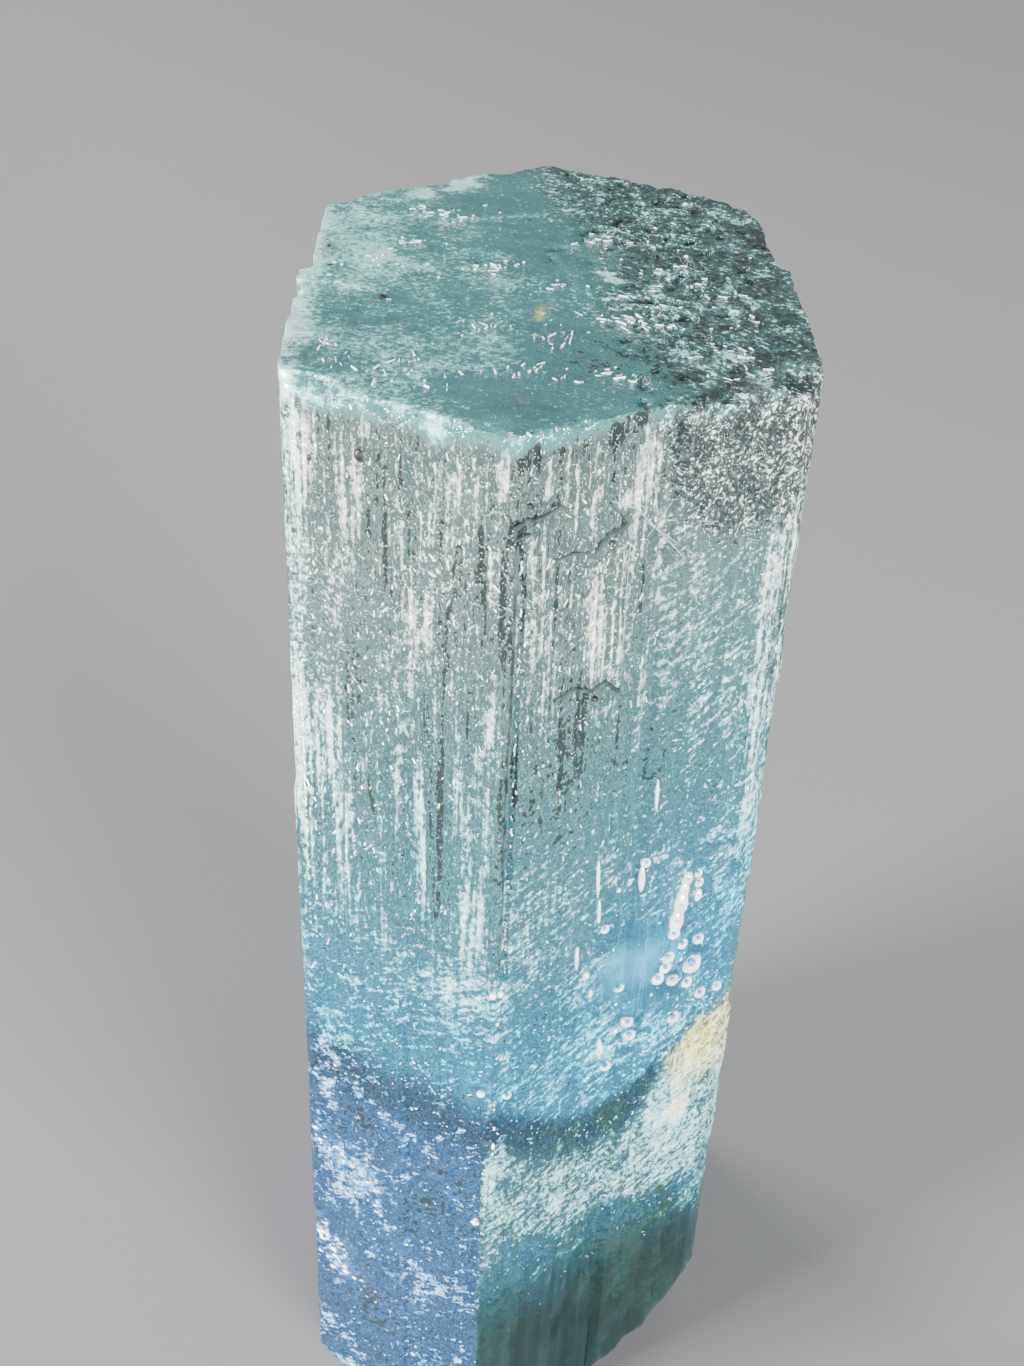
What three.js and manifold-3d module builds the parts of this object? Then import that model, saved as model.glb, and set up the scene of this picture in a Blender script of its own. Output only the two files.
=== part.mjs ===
// A natural aquamarine crystal: one six-sided beryl prism with a flat end, standing on its broken foot.
//
// Frame: millimetres, +Z up along the crystal's c axis. The origin is at the middle of the foot, under the
// centre of the bounding box, and +X faces out of one of the two long side faces.

import * as THREE from "three";
import { mergeVertices } from "three/addons/utils/BufferGeometryUtils.js";
import Module from "manifold-3d";

const wasm = await Module();
wasm.setup();

// ---------------------------------------------------------------- driving dimensions

const HEIGHT = 30.8;

// The six prism faces, anticlockwise from +X. Beryl fixes the angle between neighbours at 60 degrees, and only
// the reach, the distance from the c axis, differs. A ledge is a growth step that runs the length of the
// crystal: `at` is its share of the way along the face, and `drop` is how far the rest of the face lies back.
const PRISM_FACES = [
  { reach: 5.42, ledges: [{ at: 0.6, drop: 0.26 }] }, // right side
  { reach: 6.64, ledges: [{ at: 0.35, drop: -0.12 }, { at: 0.7, drop: 0.18 }] }, // back right
  { reach: 6.2, ledges: [{ at: 0.45, drop: 0.14 }] }, // back left
  { reach: 4.86, ledges: [{ at: 0.42, drop: -0.28 }] }, // left side
  { reach: 6.87, ledges: [{ at: 0.55, drop: 0.1 }] }, // front left
  { reach: 6.06, ledges: [{ at: 0.52, drop: -0.16 }] }, // front right
];
const FACE_TURN = THREE.MathUtils.degToRad(60);

// The flat end. Its right third is a break that dips towards +X.
const SHOULDER = { startX: 1.1, dip: 3.2, turn: -14 };

// The worn rim round the flat end: one cut for each prism face, in the same order.
const RIM_WEAR = [0.2, 0.16, 0.18, 0.16, 0.34, 0.3];
const RIM_SLOPE = 42;

// Chips out of the rim, each the dent of a ball: a bearing in degrees, how far out from the axis and how far
// above the flat end its centre is, and its radius.
const RIM_CHIPS = [
  { bearing: -38, out: 6.5, above: 0.55, radius: 1.15 },
  { bearing: 38, out: 7.75, above: 0.3, radius: 1.3 },
  { bearing: 143, out: 7.3, above: 0.7, radius: 1.1 },
  { bearing: 207, out: 6.5, above: 0.7, radius: 1.05 },
  { bearing: 268, out: 8.55, above: 0.4, radius: 1.25 },
  { bearing: 92, out: 8.45, above: 0.6, radius: 1.35 },
];

// The broken foot: flat in the middle, with the edges broken away. Each break faces a bearing, leans over by
// `lean` degrees from level, and passes through the point that is `out` from the axis on the ground. The
// front right corner has lost the most.
const FOOT_BREAKS = [
  { bearing: -34, out: 5.5, lean: 74 },
  { bearing: -36, out: 4.4, lean: 48 },
  { bearing: -12, out: 5.2, lean: 66 },
  { bearing: 28, out: 5.75, lean: 48 },
  { bearing: 88, out: 6.75, lean: 38 },
  { bearing: 124, out: 5.95, lean: 62 },
  { bearing: 176, out: 4.55, lean: 55 },
  { bearing: 214, out: 5.95, lean: 44 },
  { bearing: 262, out: 6.9, lean: 52 },
];

const BLOCK = 60; // the edge of a cutting block, larger than the crystal
const BALL_SEGMENTS = 28;
const BALL_RINGS = 18;

// ---------------------------------------------------------------- solids

function solidFrom(geometry) {
  const bare = geometry.clone();
  bare.deleteAttribute("normal");
  bare.deleteAttribute("uv");
  const merged = mergeVertices(bare, 1e-4);
  return new wasm.Manifold(
    new wasm.Mesh({
      numProp: 3,
      vertProperties: merged.attributes.position.array,
      triVerts: new Uint32Array(merged.index.array),
    }),
  );
}

function geometryFrom(solid) {
  const mesh = solid.getMesh();
  const geometry = new THREE.BufferGeometry();
  geometry.setAttribute("position", new THREE.BufferAttribute(mesh.vertProperties, 3));
  geometry.setIndex(new THREE.BufferAttribute(mesh.triVerts, 1));
  geometry.computeVertexNormals();
  return geometry;
}

// ---------------------------------------------------------------- the prism

// A point given by its distance along a face's outward normal and its place along the face.
function pointOn(faceIndex, reach, along) {
  const angle = faceIndex * FACE_TURN;
  return new THREE.Vector2(reach, along).rotateAround(new THREE.Vector2(), angle);
}

// Where a face that ends at `reach` meets the next face, which starts at `nextReach`, along the first face.
function cornerAlong(reach, nextReach) {
  return (nextReach - reach * Math.cos(FACE_TURN)) / Math.sin(FACE_TURN);
}

function endReach(face) {
  return face.ledges.reduce((reach, ledge) => reach - ledge.drop, face.reach);
}

// The outline, anticlockwise: each face's ledges and then its corner with the next face. A ledge's riser lies
// parallel to a neighbouring prism face, as growth steps do.
function prismOutline() {
  const points = [];
  PRISM_FACES.forEach((face, i) => {
    const before = PRISM_FACES.at(i - 1);
    const next = PRISM_FACES[(i + 1) % PRISM_FACES.length];
    const start = -cornerAlong(face.reach, endReach(before));
    const end = cornerAlong(endReach(face), next.reach);
    let reach = face.reach;
    for (const { at, drop } of face.ledges) {
      const along = THREE.MathUtils.lerp(start, end, at);
      const run = Math.abs(drop) / Math.tan(FACE_TURN);
      points.push(pointOn(i, reach, along));
      reach -= drop;
      points.push(pointOn(i, reach, along + run));
    }
    points.push(pointOn(i, reach, end));
  });
  return points;
}

function prism() {
  const shape = new THREE.Shape(prismOutline());
  return solidFrom(new THREE.ExtrudeGeometry(shape, { depth: HEIGHT, bevelEnabled: false }));
}

// ---------------------------------------------------------------- breaks and wear

// Everything on the outward side of a plane, which faces `outward` and passes through `through`.
function blockBeyond(through, outward) {
  const block = new THREE.BoxGeometry(BLOCK, BLOCK, BLOCK);
  block.translate(0, 0, BLOCK / 2);
  const turn = new THREE.Quaternion().setFromUnitVectors(new THREE.Vector3(0, 0, 1), outward);
  block.applyQuaternion(turn);
  block.translate(through.x, through.y, through.z);
  return solidFrom(block);
}

// A unit vector that points along a bearing and rises `rise` degrees above level, or sinks if negative.
function heading(bearing, rise) {
  const turn = THREE.MathUtils.degToRad(bearing);
  const lift = THREE.MathUtils.degToRad(rise);
  return new THREE.Vector3(
    Math.cos(turn) * Math.cos(lift),
    Math.sin(turn) * Math.cos(lift),
    Math.sin(lift),
  );
}

function shoulderBreak() {
  const through = new THREE.Vector3(SHOULDER.startX, 0, HEIGHT);
  return blockBeyond(through, heading(SHOULDER.turn, 90 - SHOULDER.dip));
}

function rimWear() {
  return PRISM_FACES.map((face, i) => {
    const bearing = THREE.MathUtils.radToDeg(i * FACE_TURN);
    const reach = Math.max(face.reach, endReach(face));
    const rim = pointOn(i, reach, 0);
    const through = new THREE.Vector3(rim.x, rim.y, HEIGHT - RIM_WEAR[i]);
    return blockBeyond(through, heading(bearing, RIM_SLOPE));
  });
}

function rimChips() {
  return RIM_CHIPS.map(({ bearing, out, above, radius }) => {
    const ball = new THREE.SphereGeometry(radius, BALL_SEGMENTS, BALL_RINGS);
    const centre = heading(bearing, 0).multiplyScalar(out);
    ball.translate(centre.x, centre.y, HEIGHT + above);
    return solidFrom(ball);
  });
}

function footBreaks() {
  return FOOT_BREAKS.map(({ bearing, out, lean }) => {
    const through = heading(bearing, 0).multiplyScalar(out);
    return blockBeyond(through, heading(bearing, lean - 90));
  });
}

function crystalSolid() {
  const cuts = [shoulderBreak(), ...rimWear(), ...rimChips(), ...footBreaks()];
  return cuts.reduce((solid, cut) => solid.subtract(cut), prism());
}

// ---------------------------------------------------------------- the model

const aquamarine = new THREE.MeshStandardMaterial({ color: 0x8fc4c6, roughness: 0.18, metalness: 0 });

const crystal = new THREE.Mesh(geometryFrom(crystalSolid()), aquamarine);
crystal.name = "crystal";

// Centres the crystal's bounding box over the origin.
crystal.geometry.computeBoundingBox();
const middle = crystal.geometry.boundingBox.getCenter(new THREE.Vector3());
crystal.position.set(-middle.x, -middle.y, 0);

const model = new THREE.Group();
model.add(crystal);

export default model;
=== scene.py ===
"""A natural aquamarine crystal, standing on its broken foot.

The crystal is one six-sided beryl prism. Its skin is a single mesh with growth ledges, fine striations, a
worn rim, an etched end and a broken foot. What is sealed in it is made as separate pieces: a healed parting
plane, veils of droplets, bubbles, growth tubes, cracks, flakes and mineral grains. Cracks and slivers lie on
the skin, and so do small white plates that are painted glints.
"""

import math
import random

import bmesh
import bpy
from bpy.props import FloatProperty, FloatVectorProperty, IntProperty, PointerProperty
from mathutils import Matrix, Quaternion, Vector, noise


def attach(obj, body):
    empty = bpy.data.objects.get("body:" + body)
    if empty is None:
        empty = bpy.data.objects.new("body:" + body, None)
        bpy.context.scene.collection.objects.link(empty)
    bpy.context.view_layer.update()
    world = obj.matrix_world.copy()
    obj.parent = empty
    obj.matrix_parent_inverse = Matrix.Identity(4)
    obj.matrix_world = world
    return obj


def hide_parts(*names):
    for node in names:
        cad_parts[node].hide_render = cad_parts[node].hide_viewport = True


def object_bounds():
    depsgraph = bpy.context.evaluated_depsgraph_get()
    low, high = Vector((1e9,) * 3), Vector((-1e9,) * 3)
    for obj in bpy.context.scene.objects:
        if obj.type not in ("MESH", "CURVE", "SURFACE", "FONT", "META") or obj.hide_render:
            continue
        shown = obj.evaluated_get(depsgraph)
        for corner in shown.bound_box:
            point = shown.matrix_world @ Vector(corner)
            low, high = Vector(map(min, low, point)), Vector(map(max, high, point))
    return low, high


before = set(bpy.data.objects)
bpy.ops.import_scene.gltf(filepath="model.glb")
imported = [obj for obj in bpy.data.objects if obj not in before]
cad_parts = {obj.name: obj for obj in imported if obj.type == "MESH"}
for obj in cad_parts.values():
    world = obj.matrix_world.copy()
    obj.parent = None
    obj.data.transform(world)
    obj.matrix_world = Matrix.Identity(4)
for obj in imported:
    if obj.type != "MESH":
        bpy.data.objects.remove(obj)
CAD_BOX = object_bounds()

bl_info = {
    "name": "Aquamarine Crystal",
    "version": (1, 0, 0),
    "blender": (4, 5, 0),
    "location": "View3D > Sidebar > Aquamarine",
    "description": "Builds a natural aquamarine crystal and what is sealed in it",
    "category": "Add Mesh",
}

MM = 0.001
BODY = "root"
HEIGHT = CAD_BOX[1].z

# The c axis stands a little off the middle of the bounding box.
AXIS = Vector((-0.14 * MM, 0.014 * MM, 0))

# ------------------------------------------------------------------ the prism's shape

# The six prism faces, anticlockwise from +X: the reach from the c axis, and the ledges as (share of the way
# along the face, drop). Millimetres.
PRISM_FACES = (
    (5.42, ((0.6, 0.26),)),
    (6.64, ((0.35, -0.12), (0.7, 0.18))),
    (6.2, ((0.45, 0.14),)),
    (4.86, ((0.42, -0.28),)),
    (6.87, ((0.55, 0.1),)),
    (6.06, ((0.52, -0.16),)),
)
TURN = math.radians(60)

# Cuts through the rim and the foot, as (bearing in degrees, rise in degrees, point it passes through), are
# worked out from these. Millimetres.
SHOULDER_START, SHOULDER_DIP, SHOULDER_BEARING = 1.1, 3.2, -14
RIM_WEAR = (0.2, 0.16, 0.18, 0.16, 0.34, 0.3)
RIM_SLOPE = 42
CORNER_WEAR = (0.1, 0.1, 0.1, 0.1, 0.05, 0.25)
RIM_CHIPS = (  # bearing, distance out, height above the flat end, radius
    (-38, 6.5, 0.55, 1.15),
    (38, 7.75, 0.3, 1.3),
    (143, 7.3, 0.7, 1.1),
    (207, 6.5, 0.7, 1.05),
    (268, 8.55, 0.4, 1.25),
    (92, 8.45, 0.6, 1.35),
)
FOOT_BREAKS = (  # bearing, distance out on the ground, lean
    (-34, 5.5, 74),
    (-36, 4.4, 48),
    (-12, 5.2, 66),
    (28, 5.75, 48),
    (88, 6.75, 38),
    (124, 5.95, 62),
    (176, 4.55, 55),
    (214, 5.95, 44),
    (262, 6.9, 52),
)

# Fine growth ledges on the prism faces: width across, height, length along c. Millimetres.
STRIATIONS = (
    (0.75, 0.05, 14.0),
    (0.31, 0.03, 7.0),
    (0.13, 0.018, 4.0),
)


def outward(face):
    return Vector((math.cos(face * TURN), math.sin(face * TURN), 0))


def along(face):
    return Vector((-math.sin(face * TURN), math.cos(face * TURN), 0))


def heading(bearing, rise):
    """A unit vector that points along a bearing and rises that many degrees above level."""
    turn, lift = math.radians(bearing), math.radians(rise)
    return Vector((math.cos(turn) * math.cos(lift), math.sin(turn) * math.cos(lift), math.sin(lift)))


def corner_along(reach, next_reach):
    return (next_reach - reach * math.cos(TURN)) / math.sin(TURN)


def end_reach(face):
    reach, ledges = PRISM_FACES[face % 6]
    return reach - sum(drop for _, drop in ledges)


def full_reach(face):
    """The furthest that a face stands from the axis."""
    reach, ledges = PRISM_FACES[face % 6]
    reaches = [reach]
    for _, drop in ledges:
        reaches.append(reaches[-1] - drop)
    return max(reaches) * MM


def ledge_depth(face, place):
    """How far a face lies back from its full reach, at a place along it."""
    reach, ledges = PRISM_FACES[face]
    start = -corner_along(reach, end_reach(face - 1))
    end = corner_along(end_reach(face), PRISM_FACES[(face + 1) % 6][0])
    here = reach
    for share, drop in ledges:
        foot = start + share * (end - start)
        run = abs(drop) / math.tan(TURN)
        here -= drop * min(1, max(0, (place / MM - foot) / run))
    return full_reach(face) - here * MM


def lane_noise(lane, length, z, seed):
    """A value from 0 to 1 that is steady down a lane for about `length`, and then steps."""
    stagger = 9 * noise.cell(Vector((lane + 0.5, 0.5, seed + 0.5)))
    return noise.cell(Vector((lane + 0.5, math.floor(z / length + stagger) + 0.5, seed + 3.5)))


def striation_depth(face, place, z):
    depth = 0
    lean = 0.012 * MM * noise.noise(Vector((place / MM, z / MM / 6, face * 5)))
    for level, (width, height, length) in enumerate(STRIATIONS):
        spread = 0.5 + 0.8 * noise.noise(Vector((place / MM / 1.7, z / MM / 9, face + 11 * level)))
        lane = math.floor((place + lean) / (width * MM))
        step = lane_noise(lane, length * MM, z, face * 13 + level)
        depth += height * MM * step * max(0.15, spread)
    return depth


def swell_depth(face, place, z):
    """Slow hollows and rises over a face."""
    here = Vector((place / MM / 3.2, z / MM / 7, face * 4.1))
    return 0.07 * MM * (0.5 + 0.5 * noise.noise(here))


def pit_depth(face, place, z):
    """Shallow etch pits, a little longer than wide."""
    here = Vector((place / MM / 0.55, z / MM / 0.9, face * 8.7))
    return 0.09 * MM * max(0, noise.noise(here) - 0.42) * 2.2


def upright_edge(face):
    """Where the edge between a face and the next one stands."""
    reach, next_reach = end_reach(face), PRISM_FACES[(face + 1) % 6][0]
    return (outward(face) * reach + along(face) * corner_along(reach, next_reach)) * MM


def cuts():
    """Every flat break and worn edge, as (outward normal, distance from the axis point, roughness)."""
    top = Vector((0, 0, HEIGHT))
    found = []
    normal = heading(SHOULDER_BEARING, 90 - SHOULDER_DIP)
    found.append((normal, normal.dot(top + Vector((SHOULDER_START * MM, 0, 0))), 0.02 * MM))
    for face, wear in enumerate(RIM_WEAR):
        normal = heading(60 * face, RIM_SLOPE)
        rim = outward(face) * full_reach(face) + Vector((0, 0, HEIGHT - wear * MM))
        found.append((normal, normal.dot(rim), 0.2 * MM))
    for face in range(6):
        normal = heading(60 * face + 30, 0)
        reach = normal.dot(upright_edge(face)) - CORNER_WEAR[face] * MM
        found.append((normal, reach, 0.1 * MM))
    for bearing, out, lean in FOOT_BREAKS:
        normal = heading(bearing, lean - 90)
        found.append((normal, normal.dot(heading(bearing, 0) * out * MM), 0.12 * MM))
    return found


def dents():
    return [
        (heading(bearing, 0) * out * MM + Vector((0, 0, HEIGHT + above * MM)), radius * MM)
        for bearing, out, above, radius in RIM_CHIPS
    ]


CUTS = cuts()
DENTS = dents()
CORNERS = [upright_edge(i) for i in range(6)]
SKIN = 1.2 * MM  # how deep a side face's relief is felt under it
END_SKIN = 0.9 * MM  # and how deep the relief of the two ends is
SKIN_LAYERS = ("skin_tone", "skin_tint", "skin_milk")
MIDDLE_CROWDING = 0.35


def etched(x, y):
    """How strongly the flat end is etched there: the right half is, and the left is nearly smooth."""
    edge = 0.9 + 1.6 * noise.noise(Vector((x, y, 4)) / 2.4)
    return min(1, max(0, (x - edge) / 1.4))


def end_relief(x, y):
    """How far the flat end is worn down at a point, in millimetres across."""
    here = Vector((x, y, 0))
    terrace = 0.02 * math.floor(3 + 3 * noise.noise(here / 3.1 + Vector((3, 1, 2))))
    grain = noise.fractal(here * 1.9, 0.8, 2.1, 4)
    pits = max(0, noise.noise(here * 2.6 + Vector((0, 0, 9))) - 0.1)
    strong = etched(x, y)
    return MM * (terrace + 0.035 * (1 + grain) * (0.25 + strong) + 0.32 * pits * (0.1 + strong))


def foot_relief(x, y):
    """How far the broken foot rises off the ground: a dished break with hackly steps."""
    here = Vector((x, y, 0))
    steps = 0.06 * math.floor(2.5 + 3 * noise.noise(here / 2.7 + Vector((8, 5, 1))))
    hackle = 0.05 * (1 + noise.fractal(here * 1.4, 0.9, 2.2, 3))
    return MM * max(0, steps + hackle - 0.06)


def seam_depth(face, place, z):
    """A narrow groove beside the front edge, down the upper half."""
    from_edge = place / MM + corner_along(PRISM_FACES[5][0], end_reach(4))
    if face != 5 or not 17.5 < z / MM < 28.8 or not 0.05 < from_edge < 0.33:
        return 0
    return 0.12 * MM * math.sin(math.pi * (from_edge - 0.05) / 0.28)


def skin_depth(face, place, z):
    depth = ledge_depth(face, place) + striation_depth(face, place, z)
    return depth + swell_depth(face, place, z) + pit_depth(face, place, z) + seam_depth(face, place, z)


def worn(point):
    """Where a point of the plain prism lies on the real one."""
    p = point.copy()
    for face in range(6):
        inside = full_reach(face) - outward(face).dot(point)
        if inside >= SKIN:
            continue
        depth = skin_depth(face, along(face).dot(point), point.z)
        p -= outward(face) * depth * (1 - max(0, inside) / SKIN) ** 2
    x, y = point.x / MM, point.y / MM
    below = HEIGHT - point.z
    if below < END_SKIN:
        p.z -= end_relief(x, y) * (1 - below / END_SKIN) ** 2
    if point.z < END_SKIN:
        p.z += foot_relief(x, y) * (1 - point.z / END_SKIN) ** 2
    for normal, reach, rough in CUTS:
        over = normal.dot(p) - reach
        if over > -rough:
            over += rough * noise.fractal(p / MM * 1.3 + normal * 5, 0.8, 2.1, 3)
            p -= normal * max(0, over)
    for centre, radius in DENTS:
        from_centre = p - centre
        if from_centre.length < radius:
            inward = Vector((-centre.x, -centre.y, -3 * MM)).normalized()
            half = from_centre.dot(inward)
            p += inward * (math.sqrt(half * half + radius * radius - from_centre.length_squared) - half)
    p.z = max(0, p.z)
    return p


def ranged(value, low, high):
    return max(low, min(high, value))


def finish_mesh(bm, name, material, sharp_over=None):
    """Turns a bmesh into a finished piece that rides on the crystal."""
    if sharp_over is not None:
        for face in bm.faces:
            face.smooth = True
        for edge in bm.edges:
            edge.smooth = edge.calc_face_angle(0) < sharp_over
    mesh = bpy.data.meshes.new(name)
    bm.to_mesh(mesh)
    bm.free()
    piece = bpy.data.objects.new(name, mesh)
    bpy.context.scene.collection.objects.link(piece)
    piece.data.materials.append(material)
    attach(piece, BODY)
    return piece


def hexagon_plate(bm, pitch, inset):
    """A flat grid of squares, cut to the prism's outline less an inset."""
    low, high = CAD_BOX
    cells = [math.ceil((high[i] - low[i] + 1 * MM) / pitch) for i in (0, 1)]
    size = Matrix.Diagonal((cells[0] * pitch / 2, cells[1] * pitch / 2, 1, 1))
    bmesh.ops.create_grid(bm, x_segments=cells[0], y_segments=cells[1], size=1, matrix=size)
    for face in range(6):
        bmesh.ops.bisect_plane(
            bm,
            geom=bm.verts[:] + bm.edges[:] + bm.faces[:],
            dist=0.001 * MM,
            plane_co=outward(face) * (full_reach(face) - inset),
            plane_no=outward(face),
            clear_outer=True,
        )


def build_body(form, colour, material):
    """The crystal's skin: a plate of fine squares, raised to the full height, split into rows and worn."""
    bm = bmesh.new()
    hexagon_plate(bm, form.pitch, 0)
    rim = [edge for edge in bm.edges if edge.is_boundary]
    bmesh.ops.subdivide_edges(bm, edges=rim, cuts=1)
    raised = bmesh.ops.extrude_face_region(bm, geom=bm.faces[:], use_keep_orig=True)["geom"]
    top_verts = [g for g in raised if isinstance(g, bmesh.types.BMVert)]
    bmesh.ops.translate(bm, verts=top_verts, vec=(0, 0, HEIGHT))
    top_edges = [g for g in raised if isinstance(g, bmesh.types.BMEdge) and not any(
        abs(face.normal.z) < 0.5 for face in g.link_faces)]
    bmesh.ops.subdivide_edges(bm, edges=top_edges, cuts=1, use_grid_fill=True)
    standing = [e for e in bm.edges if abs(e.verts[0].co.z - e.verts[1].co.z) > HEIGHT / 2]
    bmesh.ops.subdivide_edges(bm, edges=standing, cuts=form.rows - 1, use_grid_fill=True)
    for vert in bm.verts:
        share = vert.co.z / HEIGHT
        crowd = form.crowding * math.sin(2 * math.pi * share) / (2 * math.pi)
        crowd += MIDDLE_CROWDING * math.sin(4 * math.pi * share) / (4 * math.pi)
        vert.co.z = HEIGHT * (share - crowd)
    for vert in bm.verts:
        vert.co = worn(vert.co) + AXIS
    bmesh.ops.recalc_face_normals(bm, faces=bm.faces[:])
    body = finish_mesh(bm, "aquamarine_body", material, sharp_over=math.radians(32))
    record_skin(body.data, colour)
    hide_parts("crystal")
    return body


# ------------------------------------------------------------------ how the skin looks from place to place

# Thin dark cracks in the skin, as start, end and radius; and lines of silvery flakes, whose silver is a
# painted
# reflection: the skin is made lighter along them. They lie on the flat end where the height is 31.
# Millimetres.
DARK_LINES = (
    ((0.2, -6.8, 27.6), (0.9, -6.4, 27.75), 0.14),
    ((0.9, -6.4, 27.75), (1.25, -6.2, 28.05), 0.18),
    ((1.25, -6.2, 28.05), (1.5, -6.1, 28.5), 0.2),
    ((-1.2, -7.2, 28.5), (-0.5, -7.15, 28.85), 0.26),
    ((-0.5, -7.15, 28.85), (0.1, -6.9, 29.3), 0.2),
    ((0.85, -6.45, 24.5), (1.95, -5.85, 24.75), 0.16),
    ((-3.8, -5.8, 29.7), (-3.4, -6.1, 29.85), 0.2),
    ((-3.65, -5.9, 29.95), (-3.5, -6.0, 29.6), 0.16),
    ((2.2, -5.7, 27.1), (4.9, -4.1, 27.5), 0.16),
    ((-3.0, -0.9, 31), (-3.6, -1.3, 31), 0.2),
    ((-4.3, -3.4, 31), (-3.8, -3.5, 31), 0.16),
    ((-2.0, -6.84, 30.2), (-2.02, -6.83, 28.1), 0.2),
    ((-1.37, -7.21, 29.8), (-1.42, -7.18, 28.4), 0.22),
)
PAINTED_SILVER_LINES = (
    ((-0.66, -7.33, 28.4), (-0.65, -7.32, 27.2), 0.2),
    ((-2.12, -6.8, 27.6), (-2.04, -6.82, 26.7), 0.26),
    ((-2.6, 4.9, 31), (-1.2, 6.2, 31), 0.6),
    ((-2.2, 3.2, 31), (0.2, 3.9, 31), 0.4),
    ((0.9, 2.7, 31), (1.7, 2.3, 31), 0.35),
    ((-3.4, 1.2, 31), (-2.4, 0.4, 31), 0.4),
    ((-0.8, 1.1, 31), (0.3, 0.2, 31), 0.3),
    ((1.2, 0.4, 31), (2.2, -0.8, 31), 0.4),
    ((2.2, -0.8, 31), (2.6, -1.6, 31), 0.4),
)


def eased(value, low, high):
    """0 at `low` and 1 at `high`, eased between them and held beyond."""
    share = min(1, max(0, (value - low) / (high - low)))
    return share * share * (3 - 2 * share)


def between(share, first, second):
    return first + (second - first) * share


def grained(p, size, tall, octaves, seed):
    """Noise about 0.5, with features of `size` millimetres that are drawn out along c."""
    here = Vector((p.x / size + seed, p.y / size, p.z / size / tall))
    return 0.5 + 0.3 * noise.fractal(here, 0.8, 2.0, octaves)


def beside_line(p, start, end, radius):
    """1 on a straight line between two places, fading to 0 at the radius."""
    way = Vector(end) - Vector(start)
    from_start = p - Vector(start)
    share = min(1, max(0, from_start.dot(way) / way.length_squared))
    return 1 - eased((from_start - way * share).length, radius * 0.3, radius)


def beside_edge(p, corner, radius, soft):
    away = math.hypot(p.x - corner.x / MM, p.y - corner.y / MM)
    return 1 - eased(away, radius * (1 - soft), radius)


def near(p, place, radius, soft):
    return 1 - eased((p - Vector(place)).length, radius * (1 - soft), radius)


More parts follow.
